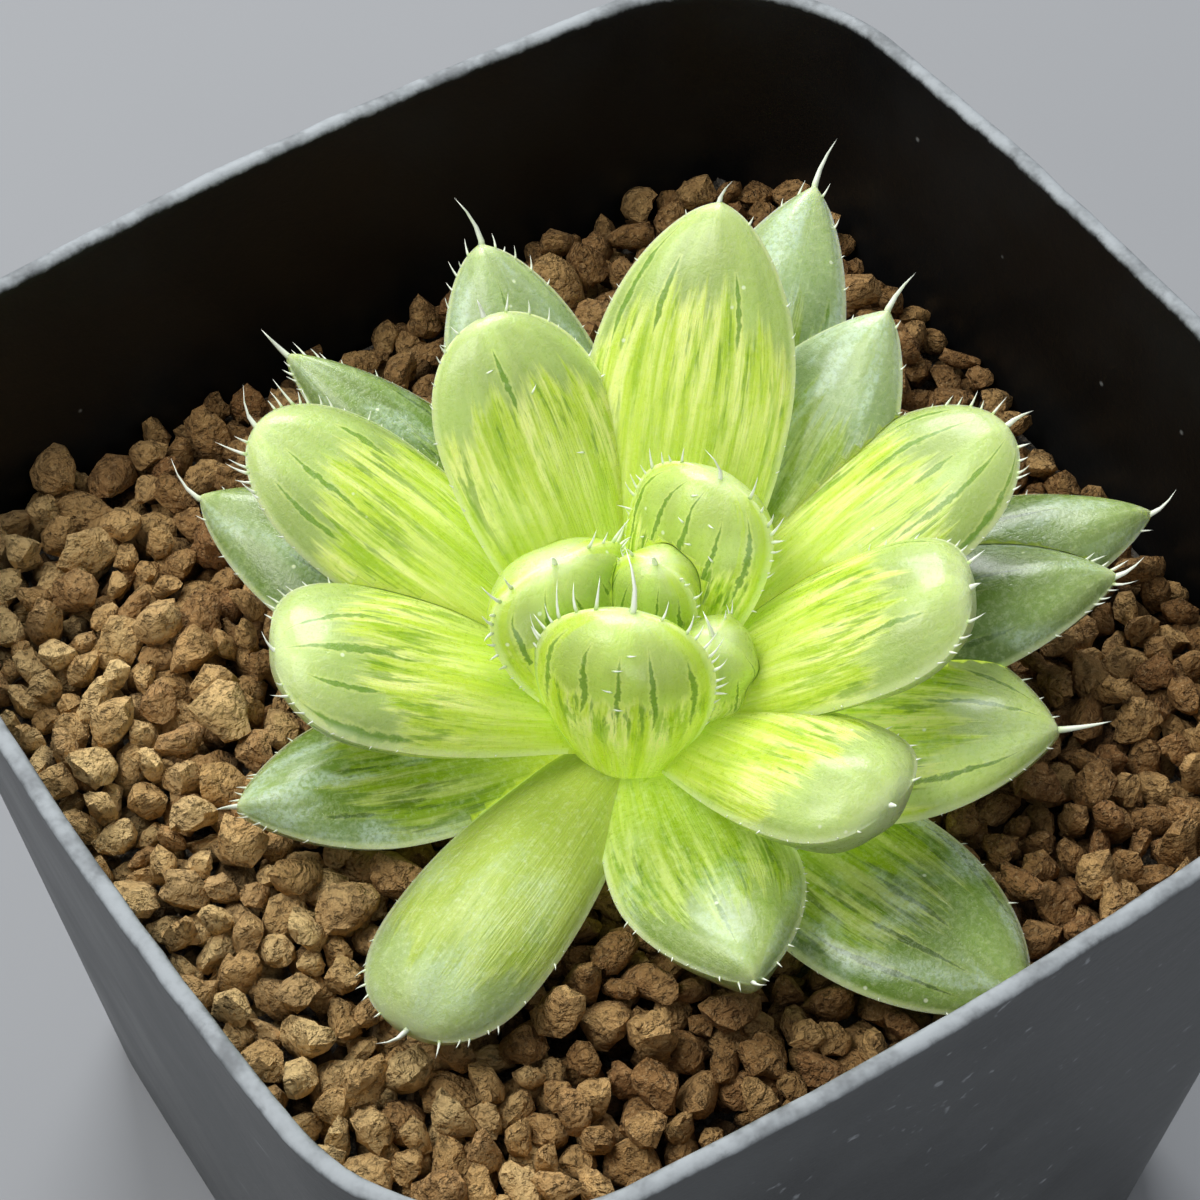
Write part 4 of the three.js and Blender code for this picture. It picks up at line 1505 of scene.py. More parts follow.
    def spines(self) -> Surface:
        """Grows the teeth on both margins, the short bristles on the skin and the bristle on the tip.

        Returns:
            One surface of closed bristles.
        """
        random = np.random.default_rng(self.seed)
        both = np.array([-1.0, 1.0])
        order = (np.arange(self.teeth) + random.uniform(0.1, 0.9, (2, self.teeth))) / self.teeth
        share = (0.3 + (self.comb_from - 0.3) * order**0.7).ravel()
        length = random.uniform(0.22, 0.6, 2 * self.teeth) * (0.65 + 0.35 * self.tooth)
        parts = [self.margin_spines(share, np.repeat(both, self.teeth), length, random)]
        order = (np.arange(self.comb) + random.uniform(0.2, 0.8, (2, self.comb))) / self.comb
        share = (self.comb_from + (0.992 - self.comb_from) * order**0.8).ravel()
        length = self.tooth * random.uniform(0.5, 1.15, 2 * self.comb) * (0.7 + 0.3 * order.ravel())
        parts.append(self.margin_spines(share, np.repeat(both, self.comb), length, random))
        for number, face in ((self.keel, -np.pi / 2), (self.fleck, np.pi / 2)):
            if number:
                parts.append(self.skin_spines(number, face, random))
        along, across, up = self.axes(np.array([1.0]))
        start = self.middle(np.array([1.0])) - along * AWN_SUNK
        sway = across * random.uniform(0.1, 0.45) * random.choice([-1, 1])
        length, radius = np.array([self.awn + AWN_SUNK + 0.2]), np.array([AWN_RADIUS])
        parts.append((start, unit(along + sway), up * 0.5 - sway * 1.7, length, radius))
        return Bristles().build(*[np.concatenate(x) for x in zip(*parts)])

    def overlaps(self, other: "Leaf") -> bool:
        """Whether the boxes round two leaves meet, each 0.4 mm larger than its leaf."""
        mine, its = (leaf.body(12, 12, 0.4).points for leaf in (self, other))
        return bool(np.all(mine.min(0) < its.max(0)) and np.all(its.min(0) < mine.max(0)))

    def build(self, finish: bpy.types.Material) -> bpy.types.Object:
        """Makes the leaf without its teeth.

        Args:
            finish: The leaf's own material.

        Returns:
            The leaf, not yet cut back by its neighbours.
        """
        return self.body().part(f"{self.node}_flesh", [finish], self.tone.slot, self.node)


@dataclass
class Rosette:
    """The 24 leaves, from the heart outwards.

    Attributes:
        finishes: One for each tone, in the order of Tone.
        leaves: The leaves; each one gives way to those before it.
        gap: How far a leaf keeps from those, in millimetres.
        tool_grid: Sections, and points round one, of a leaf that cuts others.
        sharp_from: Edges that bend by more degrees than this stay sharp.
    """

    finishes: tuple[LeafFinish, ...] = (
        LeafFinish(
            "bright leaf", foot=(0.62, 0.79, 0.03), body=(0.6, 0.77, 0.08), cream=(0.88, 0.96, 0.34),
            green=(0.34, 0.55, 0.012), window=(0.42, 0.56, 0.16), vein=(0.13, 0.3, 0.01),
            contrast=0.9, border=0.77, vein_share=0.65, painted_glow=0.13,
        ),
        LeafFinish(
            "heart leaf", foot=(0.58, 0.77, 0.03), body=(0.56, 0.75, 0.04), cream=(0.88, 0.96, 0.34),
            green=(0.28, 0.5, 0.008), window=(0.47, 0.64, 0.1), vein=(0.12, 0.28, 0.008),
            border=0.62, arch=-0.05, ragged=0.24, vein_share=1.0, vein_offset=0.5, vein_reach=(0.24, 0.36),
            silver=0.05, hem=0.7, painted_glow=0.3,
        ),
        LeafFinish(
            "grey leaf", foot=(0.5, 0.66, 0.05), body=(0.32, 0.46, 0.045), cream=(0.52, 0.64, 0.22),
            green=(0.2, 0.34, 0.025), window=(0.3, 0.42, 0.18), vein=(0.12, 0.24, 0.02),
            contrast=0.8, border=0.7, ragged=0.45, vein_share=0.4, silver=0.2, painted_sheen=0.6,
        ),
        LeafFinish(
            "green leaf", foot=(0.52, 0.7, 0.05), body=(0.34, 0.49, 0.03), cream=(0.57, 0.7, 0.19),
            green=(0.17, 0.34, 0.008), window=(0.3, 0.43, 0.1), vein=(0.09, 0.2, 0.008),
            border=0.74, ragged=0.45, vein_share=0.5, silver=0.2, painted_sheen=0.25, painted_glow=0.4,
        ),
        # A lighter copy of the green leaf, with more painted light from within, for a leaf that lies in the
        # shade of those above it.
        LeafFinish(
            "lime leaf", foot=(0.6, 0.78, 0.03), body=(0.56, 0.74, 0.05), cream=(0.8, 0.9, 0.28),
            green=(0.26, 0.46, 0.01), window=(0.48, 0.63, 0.17), vein=(0.1, 0.24, 0.01),
            border=0.74, ragged=0.4, vein_share=0.65, silver=0.18, painted_sheen=0.15, painted_glow=0.75,
        ),
        LeafFinish(
            "pale leaf", foot=(0.52, 0.62, 0.11), body=(0.43, 0.55, 0.09), cream=(0.54, 0.65, 0.19),
            green=(0.34, 0.48, 0.05), window=(0.38, 0.5, 0.18), vein=(0.2, 0.32, 0.03),
            contrast=0.5, border=0.84, vein_share=0.15, silver=0.3, painted_sheen=0.25, coat=0.12, roughness=0.42,
        ),
        LeafFinish(
            "dark leaf", foot=(0.42, 0.58, 0.03), body=(0.2, 0.32, 0.02), cream=(0.36, 0.47, 0.14),
            green=(0.1, 0.2, 0.01), window=(0.15, 0.25, 0.045), vein=(0.05, 0.12, 0.007),
            contrast=0.9, border=0.62, ragged=0.5, vein_share=0.3, silver=0.2, painted_sheen=0.45, roughness=0.25,
        ),
        # A lighter copy of the dark leaf at the foot and in the body, with more painted light from within,
        # for leaves that lie in shade.
        LeafFinish(
            "moss leaf", foot=(0.6, 0.74, 0.05), body=(0.27, 0.42, 0.012), cream=(0.5, 0.6, 0.16),
            green=(0.09, 0.2, 0.008), window=(0.16, 0.28, 0.035), vein=(0.04, 0.1, 0.005),
            contrast=0.9, border=0.7, ragged=0.5, vein_share=0.35, silver=0.18, painted_sheen=0.6, roughness=0.25,
            painted_glow=0.5,
        ),
    )
    leaves: tuple[Leaf, ...] = (
        Leaf("leaf_heart_front", YOUNG, Tone.HEART, -136, 0, (84, 112), 4.1, 54.9, 12.2, 10.3,
             awn=3.2, teeth=3, comb=11, tooth=1.4, comb_from=0.5, keel=4),
        Leaf("leaf_heart_bud", YOUNG, Tone.HEART, 24, 0, (80, 86), 0.8, 57.0, 9.4, 5.6,
             awn=1.4, teeth=3, comb=6, tooth=1.0, comb_from=0.55),
        Leaf("leaf_heart_right", BLUNT, Tone.HEART, 20, 0, (70, 62), 2.4, 56.0, 13.5, 9.4,
             awn=1.8, teeth=5, comb=9, tooth=1.3, comb_from=0.62, fleck=7),
        Leaf("leaf_heart_left", BLUNT, Tone.HEART, 138, -50, (72, 80), 2.8, 55.5, 11.0, 10.0,
             awn=1.6, teeth=4, comb=8, tooth=1.4, comb_from=0.6),
        Leaf("leaf_heart_side", YOUNG, Tone.HEART, -58, 0, (76, 86), 3.4, 55.5, 8.8, 6.0,
             awn=1.2, teeth=3, comb=6, tooth=1.0, comb_from=0.55),
        Leaf("leaf_upper_01", SLENDER, Tone.BRIGHT, 44, 0, (48, 38), 2.5, 55.5, 27.9, 12.2,
             awn=1.2, teeth=10, comb=1, tooth=0.7),
        Leaf("leaf_upper_02", OVAL, Tone.BRIGHT, 87, 0, (51, 43), 2.5, 55.5, 22.6, 11.0,
             awn=1.0, teeth=9, comb=3, tooth=0.9, fleck=3),
        Leaf("leaf_upper_03", BLUNT, Tone.BRIGHT, -37, 0, (42, 32), 2.5, 55.0, 20.5, 10.4,
             awn=0.9, teeth=9, comb=4, tooth=1.0),
        Leaf("leaf_upper_04", BLUNT, Tone.BRIGHT, 157, 0, (34, 26), 2.5, 54.5, 21.5, 11.6,
             awn=0.9, teeth=7, comb=5, tooth=0.8),
        Leaf("leaf_upper_05", OVAL, Tone.BRIGHT, -6, 0, (34, 22), 2.5, 54.9, 25.2, 10.8,
             awn=1.6, teeth=10, comb=5, tooth=1.1),
        Leaf("leaf_upper_06", BLUNT, Tone.BRIGHT, -77, 0, (34, 22), 2.5, 54.3, 18.8, 9.8,
             awn=0.9, teeth=8, comb=2, tooth=0.6),
        Leaf("leaf_upper_07", OVAL, Tone.BRIGHT, 119, 0, (30, 26), 2.5, 54.5, 26.0, 10.6,
             awn=2.0, teeth=10, comb=7, tooth=1.2, comb_from=0.87),
        Leaf("leaf_lower_01", POINTED, Tone.GREY, 36, 0, (32, 20), 2.5, 53.5, 33.0, 10.6,
             awn=2.6, teeth=9, comb=2, tooth=0.8),
        Leaf("leaf_lower_02", POINTED, Tone.GREY, 19, 0, (36, 26), 2.5, 54.0, 26.4, 10.8,
             awn=2.4, teeth=6, comb=1, tooth=0.6),
        Leaf("leaf_lower_03", SLENDER, Tone.GREY, 78, 0, (38, 28), 2.5, 53.5, 28.2, 10.0,
             awn=2.8, teeth=7, comb=4, tooth=0.9),
        Leaf("leaf_lower_04", POINTED, Tone.DARK, 93, 22, (25, 14), 2.5, 53.5, 29.0, 7.4,
             awn=1.8, teeth=9, comb=4, tooth=0.9),
        Leaf("leaf_lower_05", POINTED, Tone.DARK, 120, 0, (14, 6), 2.5, 53.0, 28.0, 10.8,
             awn=2.4, teeth=6, comb=1, tooth=0.5),
        Leaf("leaf_lower_06", POINTED, Tone.DARK, -16, -12, (17, 8), 2.5, 53.2, 27.6, 10.4,
             awn=1.6, teeth=6, comb=5, tooth=1.0),
        Leaf("leaf_lower_07", POINTED, Tone.DARK, -8, -12, (16, 6), 2.5, 52.6, 31.6, 10.2,
             awn=1.6, teeth=6, comb=1, tooth=0.6),
        Leaf("leaf_lower_08", POINTED, Tone.LIME, -44, 0, (15, 9), 2.5, 53.4, 22.9, 14.0,
             awn=3.0, teeth=6, comb=2, tooth=0.6),
        Leaf("leaf_lower_09", POINTED, Tone.GREEN, -107, 0, (16, 12), 2.5, 52.8, 20.2, 10.8,
             awn=0.9, teeth=16, comb=2, tooth=0.6),
        Leaf("leaf_lower_10", BLUNT, Tone.PALE, -153, 0, (14, 2), 2.5, 52.5, 24.2, 9.7,
             awn=2.2, teeth=4, comb=5, tooth=0.9, comb_from=0.86),
        Leaf("leaf_lower_11", POINTED, Tone.MOSS, 165, 0, (10, 4), 2.5, 52.5, 22.4, 10.2,
             awn=1.2, teeth=5, comb=5, tooth=0.8),
        Leaf("leaf_lower_12", SLENDER, Tone.MOSS, -76, 0, (5, 1), 2.5, 52.0, 26.9, 12.2,
             awn=0.9, teeth=8, comb=1, tooth=0.5),
    )
    gap: float = 0.08
    tool_grid: int = 40
    sharp_from: float = 40.0

    def build(self, effects: Effects, stem: Surface) -> list[bpy.types.Object]:
        """Builds and dresses every leaf, cut back where the stem or a leaf nearer the heart presses in.

        Args:
            effects: The shared effects.
            stem: The stem, a little enlarged.

        Returns:
            The leaves and their teeth.
        """
        coats = {tone: finish.build(effects) for tone, finish in zip(Tone, self.finishes)}
        bristle = BristleFinish().build()
        stem_tool = stem.part("stem_tool", [], "stem")
        tools = [
            leaf.body(self.tool_grid, self.tool_grid, self.gap).part(f"leaf_tool_{k}", [], leaf.tone.slot)
            for k, leaf in enumerate(self.leaves)
        ]
        pieces = []
        for k, leaf in enumerate(self.leaves):
            flesh = leaf.build(coats[leaf.tone])
            inner = [tools[j] for j in range(k) if leaf.overlaps(self.leaves[j])]
            cut_away(flesh, [stem_tool, *inner], "MANIFOLD")
            flesh.data.set_sharp_from_angle(angle=math.radians(self.sharp_from))
            teeth = leaf.spines().part(f"{leaf.node}_teeth", [bristle], leaf.tone.slot, leaf.node)
            pieces += [flesh, teeth]
        for tool in (stem_tool, *tools):
            bpy.data.objects.remove(tool)
        return pieces

    def room(self) -> tuple[Array, Array]:
        """Balls that fill the leaves, so that the granules keep clear of them.

        Returns:
            (n, 3) centres and (n,) radii.
        """
        centres, radii = [], []
        grid = np.meshgrid(np.linspace(0.12, 0.99, 24), np.linspace(-0.9, 0.9, 9), indexing="ij")
        share, place = (x.ravel() for x in grid)
        for leaf in self.leaves:
            _, across, up = leaf.axes(share)
            form = leaf.form
            thick = leaf.thickness(share) * (1 - np.abs(place) ** 2.5)
            centre = leaf.middle(share) + across * (leaf.half_width(share) * place)[:, None]
            centres.append(centre - up * (thick * (form.down - form.up) / 2)[:, None])
            radii.append(thick * (form.down + form.up) / 2 + 0.25)
        return np.concatenate(centres), np.concatenate(radii)


@dataclass
class StemAndRoots:
    """The short stem and its five fleshy roots, in millimetres.

    Attributes:
        radius: The stem's, at its waist and its shoulder.
        foot: Height of its lower end.
        foot_radius: Its radius there.
        shoulder: Height where it begins to close.
        top: Height of its upper end.
        top_radius: Its radius there.
        roots: How many roots.
        root_start: The height that they leave the stem at.
        first_turn: Heading of the first, degrees from +X.
        root_radius: Their radius at the stem.
        root_tip_radius: Their radius at the tip.
        reach: How far out they go.
        tip_height: Height of the lower tips.
        stagger: How much higher every other tip is.
    """

    radius: float = 3.3
    foot: float = 31.0
    foot_radius: float = 2.2
    shoulder: float = 54.0
    top: float = 56.5
    top_radius: float = 1.1
    roots: int = 5
    root_start: float = 35.0
    first_turn: float = 25.0
    root_radius: float = 1.5
    root_tip_radius: float = 0.5
    reach: float = 19.0
    tip_height: float = 13.0
    stagger: float = 2.0

    def stem(self, grow: float = 0.0) -> Surface:
        """The stem: a profile turned about its own axis, slightly ribbed.

        Args:
            grow: How much larger it is on every side.

        Returns:
            A closed surface.
        """
        waist = (self.foot + self.shoulder) / 2
        heights = np.array([self.foot, 33.0, 37.0, waist, 48.0, 52.0, self.shoulder, 55.5, self.top])
        radii = np.interp(
            heights, [self.foot, waist, self.shoulder, self.top],
            [self.foot_radius, self.radius, self.radius, self.top_radius],
        ) + grow
        angle = np.linspace(0, 2 * np.pi, 32, endpoint=False)
        ribs = 1 - 0.03 * (0.5 + 0.5 * np.cos(angle * 9))
        rings = np.stack([
            STEM[0] + radii[:, None] * ribs * np.cos(angle),
            STEM[1] + radii[:, None] * ribs * np.sin(angle),
            np.broadcast_to(heights[:, None], (len(heights), 32)),
        ], axis=-1)
        return Surface.tube(rings, STEM + UP * self.foot, STEM + UP * (self.top + grow))

    def root(self, number: int) -> Surface:
        """One root: it lies reach * s^0.8 out and has sunk by its whole depth times s^1.4.

        Args:
            number: Which root.

        Returns:
            A closed surface.
        """
        turn = math.radians(self.first_turn + number * 360 / self.roots)
        end = self.tip_height + self.stagger * (number % 2)
        share = np.linspace(0, 1, 26)
        out = self.reach * share**0.8
        level = self.root_start - (self.root_start - end) * share**1.4
        heading = np.array([math.cos(turn), math.sin(turn), 0.0])
        side = np.array([-math.sin(turn), math.cos(turn), 0.0])
        middle = STEM + out[:, None] * heading + level[:, None] * UP
        radius = self.root_radius + (self.root_tip_radius - self.root_radius) * share
        radius = radius * (1 - 0.03 * np.cos(share * 60))
        angle = np.linspace(0, 2 * np.pi, 14, endpoint=False)
        ring = np.cos(angle)[:, None] * side + np.sin(angle)[:, None] * UP
        rings = middle[:, None] + radius[:, None, None] * ring[None]
        return Surface.tube(rings, middle[0], middle[-1] + heading * self.root_tip_radius)

    def build(self, effects: Effects) -> bpy.types.Object:
        """Makes the stem and the roots as one piece.

        Args:
            effects: The shared effects.

        Returns:
            The piece.
        """
        roots = tuple(self.root(number) for number in range(self.roots))
        finish = RootFinish().build(effects)
        return self.stem().part("stem_and_roots", [finish], "stem", "stem", others=roots)


# ---- The granules ----


@dataclass
class GranuleBed:
    """Loose clay granules, settled as balls and then given broken shapes, on a filling whose dark grey is
    painted shade deep between the granules.

    Attributes:
        count: How many balls are dropped.
        floor: The height that the lowest ones rest at.
        sizes: Least, usual and greatest radius.
        steps: Steps of the settling.
        sink: How far a ball sinks in the first step; it dwindles to nothing in the last.
        spacing: How far apart two balls stay, as a share of their radii.
        near: Centres closer than this are neighbours.
        near_plant: The same for a ball and the plant.
        facets: Flats broken off each granule.
        fill_top: The filling's top.
        seed: Of the random numbers.
        sharp_from: Edges that bend by more degrees than this stay sharp.
    """

    count: int = 2800
    floor: float = 45.8
    sizes: tuple[float, float, float] = (0.65, 0.95, 1.6)
    steps: int = 110
    sink: float = 0.16
    spacing: float = 1.04
    near: float = 4.2
    near_plant: float = 5.6
    facets: int = 10
    fill_top: float = 47.3
    seed: int = 4
    sharp_from: float = 42.0

    @staticmethod
    def distances(some: Array, others: Array) -> Array:
        """Distances between each of some points and each of the others, in single precision."""
        return np.linalg.norm(some[:, None].astype(np.float32) - others[None].astype(np.float32), axis=-1)

    @staticmethod
    def summed(index: Array, push: Array, count: int) -> Array:
        """The sum of the pushes on each of count balls, as (count, 3)."""
        return np.stack([np.bincount(index, push[:, axis], count) for axis in range(3)], axis=-1)

    def settle(self, pot: NurseryPot, balls: Array, radii: Array) -> tuple[Array, Array]:
        """Lets balls sink and push each other, the wall, the floor and the plant apart.

        Args:
            pot: The pot that they lie in.
            balls: (n, 3) centres of the plant's own balls.
            radii: (n,) their radii.

        Returns:
            (count, 3) centres and (count,) radii.
        """
        random = np.random.default_rng(self.seed)
        size = random.triangular(*self.sizes, self.count)
        place = np.column_stack([
            random.uniform(-32, 32, (self.count, 2)),
            random.uniform(self.floor + 1.0, self.floor + 8.5, self.count),
        ])
        for step in range(self.steps):
            if step % 10 == 0:
                one, other = np.nonzero(np.triu(self.distances(place, place) < self.near, 1))
                near, ball = np.nonzero(self.distances(place, balls) < self.near_plant)
            place[:, 2] -= self.sink * (1 - step / self.steps)
            gap = place[one] - place[other]
            distance = np.linalg.norm(gap, axis=1) + 1e-6
            overlap = np.maximum((size[one] + size[other]) * self.spacing - distance, 0)
            push = gap * (overlap / distance * 0.45)[:, None]
            place += self.summed(one, push, self.count) - self.summed(other, push, self.count)
            gap = place[near] - balls[ball]
            distance = np.linalg.norm(gap, axis=1) + 1e-6
            overlap = np.maximum(size[near] + radii[ball] - distance, 0)
            push = gap * (overlap / distance * 0.5)[:, None]
            push[:, 2] -= overlap * 0.3
            place += np.clip(self.summed(near, push, self.count), -0.6, 0.6)
            depth, inward = pot.depth_inside(place)
            place[:, :2] += inward * np.maximum(size + 0.1 - depth, 0)[:, None]
            place[:, 2] = np.maximum(place[:, 2], self.floor + size)
        gap = place[near] - balls[ball]
        lying = (gap[:, 2] > 0) & (np.linalg.norm(gap[:, :2], axis=1) < radii[ball] + 0.3 * size[near])
        pressed = np.linalg.norm(gap, axis=1) < radii[ball] + 0.25 * size[near]
        keep = np.bincount(near, lying | pressed, self.count) == 0
        return place[keep], size[keep]

    @staticmethod
    def cube_ball(cuts: int) -> tuple[Array, Array]:
        """A ball skinned with the six sides of a cube, each cut into cuts by cuts faces.

        Args:
            cuts: Faces along a side.

        Returns:
            (n, 3) unit points and (m, 4) faces that point outwards.
        """
        line = np.tan(np.linspace(-np.pi / 4, np.pi / 4, cuts + 1))
        u, v = np.meshgrid(line, line, indexing="ij")
        index = np.arange((cuts + 1) ** 2).reshape(cuts + 1, cuts + 1)
        corners = [index[:-1, :-1], index[1:, :-1], index[1:, 1:], index[:-1, 1:]]
        cell = np.stack(corners, axis=-1).reshape(-1, 4)
        points, faces = [], []
        for axis in range(3):
            for sign in (-1.0, 1.0):
                side = np.roll(np.stack([np.full_like(u, sign), u * sign, v], axis=-1), axis, axis=-1)
                faces.append(cell + len(points) * index.size)
                points.append(side.reshape(-1, 3))
        points = unit(np.concatenate(points))
        _, first, back = np.unique(points.round(5), axis=0, return_index=True, return_inverse=True)
        return points[first], back.ravel()[np.concatenate(faces)]

    def broken(self, place: Array, size: Array, seed: int) -> Surface:
        """Gives every ball a broken shape of its own.

        Towards a direction d the radius is (sum of max(0, d.n/h)^12 + 1.3^-12)^(-1/12) over random planes
        with normals n and distances h, which is a lump with flats. Each lump is stretched and turned.

        Args:
            place: (count, 3) centres.
            size: (count,) radii.
            seed: Of the random numbers.

        Returns:
            One surface of closed lumps, each marked with a random tone, made paler towards the left by
            painted sunlight, and two random numbers, and each point with its depth below the bed's top, from
            which the finish paints shade.
        """
        random = np.random.default_rng(seed)
        ball, faces = self.cube_ball(3)
        count = len(place)
        normals = unit(random.normal(size=(count, self.facets, 3)))
        reach = random.uniform(0.62, 1.02, (count, self.facets))
        lean = np.einsum("vk,nfk->nvf", ball, normals) / reach[:, None]
        radius = (np.sum(np.maximum(lean, 0) ** 12, axis=-1) + 1.3**-12) ** (-1 / 12)
        radius *= 1 + random.normal(0, 0.075, radius.shape)
        stretch = random.uniform([1.0, 0.85, 0.7], [1.42, 1.1, 0.96], (count, 3))
        shape = ball[None] * radius[..., None] * stretch[:, None]
        shape = np.einsum("nvk,njk->nvj", shape, random_turns(random, count)) * size[:, None, None]
        points = (place[:, None] + shape).reshape(-1, 3)
        quads = (faces[None] + (np.arange(count) * len(ball))[:, None, None]).reshape(-1, 4)
        tones_and_painted_light = random.uniform(0, 1, (count, 3))
        # Painted sunlight: granules towards the left are made paler.
        tones_and_painted_light[:, 0] = 0.7 * tones_and_painted_light[:, 0] + 0.88 * smooth_step(-place[:, 0], 12.0, 30.0)
        marks = np.repeat(tones_and_painted_light, len(ball), axis=0)
        # How deep each point lies below the bed's top, for the painted shade between the granules.
        below = self.top_level(points, place, size) - points[:, 2]
        empty = np.zeros((0, 3), int)
        surface = Surface(points, quads, empty).outward()
        return surface.marked(granule=marks, depth=np.stack([below, 0 * below, 0 * below], axis=-1))

    @staticmethod
    def top_level(points: Array, place: Array, size: Array, cell: float = 2.6) -> Array:
        """The bed's height over each point: the highest granule in each cell, smoothed between cells.

        Args:
            points: (n, 3) points.
            place: (count, 3) centres of the granules.
            size: (count,) their radii.
            cell: Side of a cell, in millimetres.

        Returns:
            (n,) heights in millimetres.
        """
        cells = 32
        spot = np.clip((place[:, :2] / cell + cells / 2).astype(int), 0, cells - 1)
        tops = np.full((cells, cells), np.quantile(place[:, 2], 0.6))
        np.maximum.at(tops, (spot[:, 0], spot[:, 1]), place[:, 2] + 0.8 * size)
        at = np.clip(points[:, :2] / cell + cells / 2 - 0.5, 0, cells - 1.001)
        low = at.astype(int)
        u, v = (at - low).T
        i, j = low.T
        front = tops[i, j] * (1 - u) + tops[i + 1, j] * u
        behind = tops[i, j + 1] * (1 - u) + tops[i + 1, j + 1] * u
        return front * (1 - v) + behind * v

    def filling(self, clay: bpy.types.Material) -> bpy.types.Object:
        """The deep filling: the CAD one below the granules, cut flat and closed, with its root holes.

        Args:
            clay: The material.

        Returns:
            The piece.
        """
        work = bmesh.new()
        work.from_mesh(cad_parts["soil"].data)
        bmesh.ops.remove_doubles(work, verts=work.verts, dist=1e-7)
        level = self.fill_top * MM
        everything = [*work.verts, *work.edges, *work.faces]
        cut = bmesh.ops.bisect_plane(
            work, geom=everything, plane_co=(0, 0, level), plane_no=(0, 0, 1), clear_outer=True
        )
        rim = [e for e in cut["geom_cut"] if isinstance(e, bmesh.types.BMEdge)]
        bmesh.ops.triangle_fill(work, edges=rim, use_beauty=True, normal=(0, 0, 1))
        bmesh.ops.recalc_face_normals(work, faces=work.faces)
        mesh = bpy.data.meshes.new("filling")
        work.to_mesh(mesh)
        work.free()
        mesh.materials.clear()
        # The filling carries no granule marks, so the clay finish paints it the odd dark grey: painted shade
        # deep between the granules.
        mesh.materials.append(clay)
        piece = bpy.data.objects.new("filling", mesh)
        bpy.context.scene.collection.objects.link(piece)
        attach(piece, BODY)
        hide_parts("soil")
        return piece

    def build(self, effects: Effects, pot: NurseryPot, rosette: Rosette) -> list[bpy.types.Object]:
        """Settles, breaks and dresses the granules, and lays the filling under them.

        Args:
            effects: The shared effects.
            pot: The pot that they lie in.
            rosette: The plant that they keep clear of.

        Returns:
            The granules and the filling.
        """
        clay = ClayFinish().build(effects)
        balls, radii = rosette.room()
        stem = STEM + UP * np.linspace(43, 56, 8)[:, None]
        radii = np.concatenate([radii, np.full(8, StemAndRoots.radius)])
        place, size = self.settle(pot, np.concatenate([balls, stem]), radii)
        log.info("granules: top at %.1f mm", float(np.quantile(place[:, 2] + size, 0.97)))
        pieces = [self.filling(clay)]
        for k, share in enumerate(np.array_split(np.arange(len(size)), 2)):
            lumps = self.broken(place[share], size[share], self.seed + k)
            lumps = lumps.part(f"granules_{k}", [clay], "granules", "soil")
            lumps.data.set_sharp_from_angle(angle=math.radians(self.sharp_from))
            pieces.append(lumps)
        return pieces


# ---- The studio ----


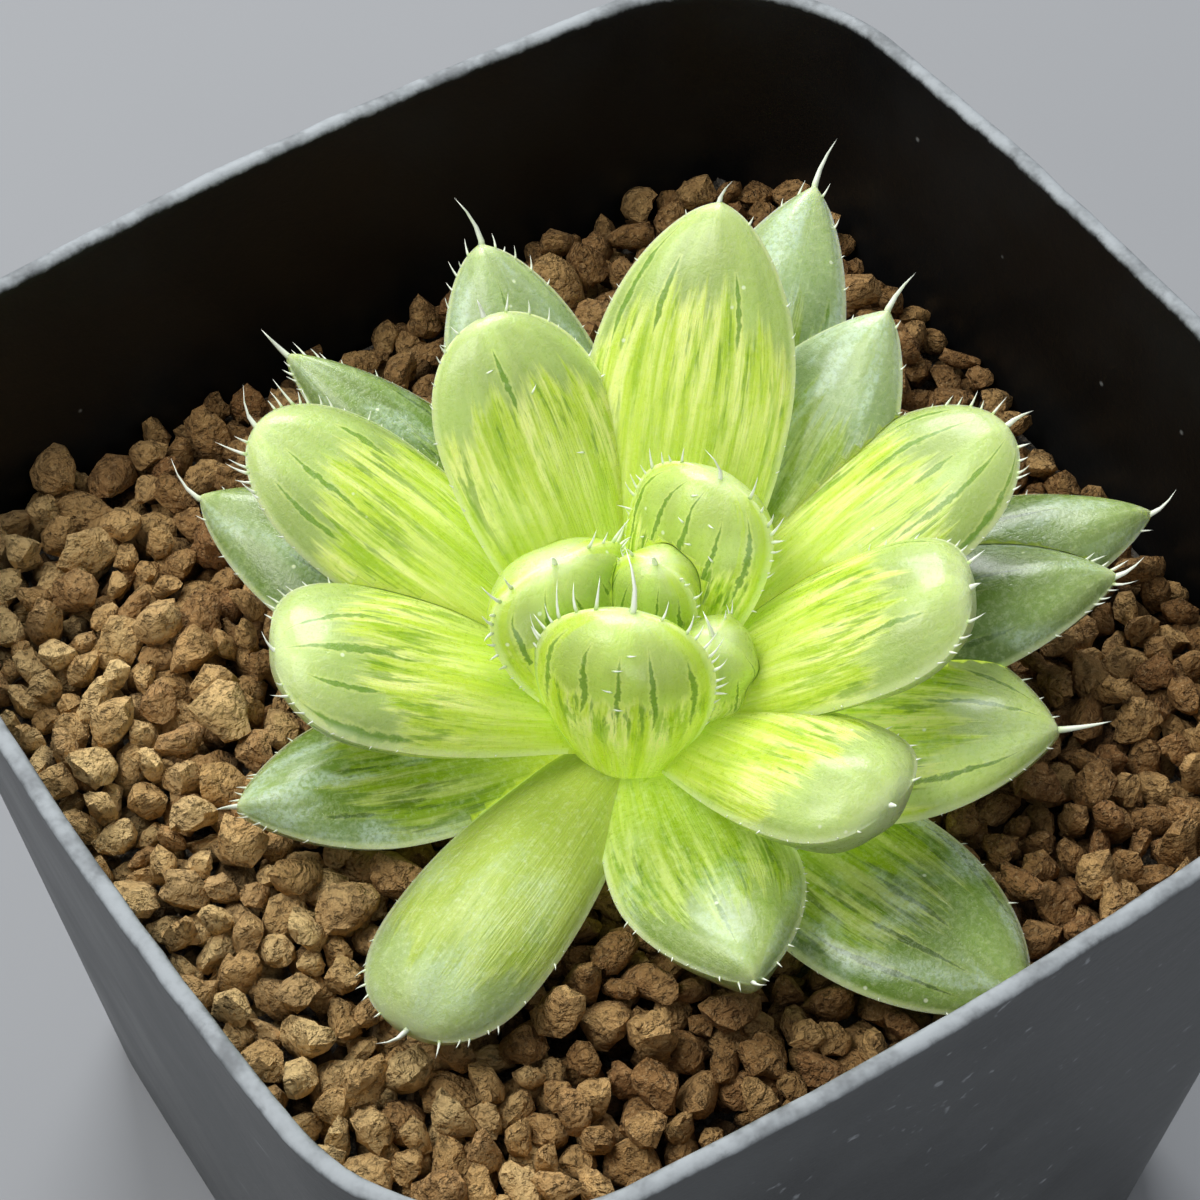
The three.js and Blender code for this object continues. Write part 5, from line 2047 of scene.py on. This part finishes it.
@dataclass
class Studio:
    """The camera at the photograph's angle, a pale floor and soft light from behind, in metres.

    Attributes:
        place: Where the camera stands.
        right: The direction to its right.
        up: The direction above it.
        back: The direction behind it.
        lens: Its focal length, in millimetres.
        lights: Name, place, size, power and color of each soft light.
        aim: The point that the lights face.
        air: Color of the even light from all round.
        air_strength: How strong that is.
    """

    place: Triple = (-0.06623, -0.0979, 0.21186)
    right: Triple = (0.8336, -0.5524, -0.0023)
    up: Triple = (0.4394, 0.6607, 0.6086)
    back: Triple = (-0.3347, -0.5083, 0.7935)
    lens: float = 96.9
    lights: tuple[tuple[str, Triple, float, float, Color], ...] = (
        ("window", (-0.2, 0.16, 0.55), 0.3, 2.0, (1.0, 0.98, 0.95)),
        ("sky", (0.2, 0.42, 0.44), 0.28, 2.9, (0.98, 0.99, 1.0)),
        ("fill", (-0.3, -0.55, 0.21), 0.36, 1.15, (0.99, 0.99, 1.0)),
    )
    aim: Triple = (0.0, 0.0, 0.055)
    air: Color = (0.68, 0.7, 0.73)
    air_strength: float = 0.5

    def camera(self) -> None:
        """Sets the camera from its right, up and back directions."""
        data = bpy.data.cameras.new("camera")
        data.lens, data.sensor_width, data.clip_start = self.lens, 36.0, 0.01
        camera = bpy.data.objects.new("camera", data)
        bpy.context.scene.collection.objects.link(camera)
        turn = Matrix([self.right, self.up, self.back]).transposed().to_4x4()
        camera.matrix_world = Matrix.Translation(self.place) @ turn
        bpy.context.scene.camera = camera

    def lamp(self, name: str, place: Triple, size: float, power: float, color: Color) -> None:
        """Hangs one square soft light that faces the plant.

        Args:
            name: The light's name.
            place: Where it hangs.
            size: Its side.
            power: In watts.
            color: Its color.
        """
        data = bpy.data.lights.new(name, "AREA")
        data.size, data.energy, data.color = size, power, color
        lamp = bpy.data.objects.new(name, data)
        lamp.location = place
        lamp.rotation_euler = (Vector(place) - Vector(self.aim)).to_track_quat("Z", "Y").to_euler()
        bpy.context.scene.collection.objects.link(lamp)

    def floor(self) -> None:
        """Lays the floor: a disc of rings whose steps widen outwards."""
        reach = 4000.0 * (np.arange(1, 13) / 12) ** 2
        angle = np.linspace(0, 2 * np.pi, 48, endpoint=False)
        rings = reach[:, None, None] * np.stack([np.cos(angle), np.sin(angle), 0 * angle], axis=-1)
        under = rings[::-1] - [0, 0, 4.0]
        disc = Surface.tube(np.concatenate([rings, under]), UP * 0, UP * -4.0)
        floor = disc.part("floor", [FloorFinish().build()], "pot")

    def build(self) -> None:
        """Sets up the camera, the lights, the air's even light and the floor."""
        self.camera()
        for light in self.lights:
            self.lamp(*light)
        world = bpy.data.worlds.new("air")
        world.use_nodes = True
        background = world.node_tree.nodes["Background"]
        background.inputs["Color"].default_value = (*self.air, 1.0)
        background.inputs["Strength"].default_value = self.air_strength
        bpy.context.scene.world = world
        bpy.context.scene.view_settings.view_transform = "Standard"
        self.floor()


def main() -> None:
    logging.basicConfig(level=logging.INFO, format="%(name)s: %(message)s")
    Studio().build()
    effects = Effects()
    pot, stem, rosette = NurseryPot(), StemAndRoots(), Rosette()
    pieces = [pot.build(effects), stem.build(effects)]
    pieces += rosette.build(effects, stem.stem(grow=0.1))
    pieces += GranuleBed().build(effects, pot, rosette)
    for piece in pieces:
        log.info("%s: %d faces", piece.name, len(piece.data.polygons))


if __name__ == "__main__":
    main()
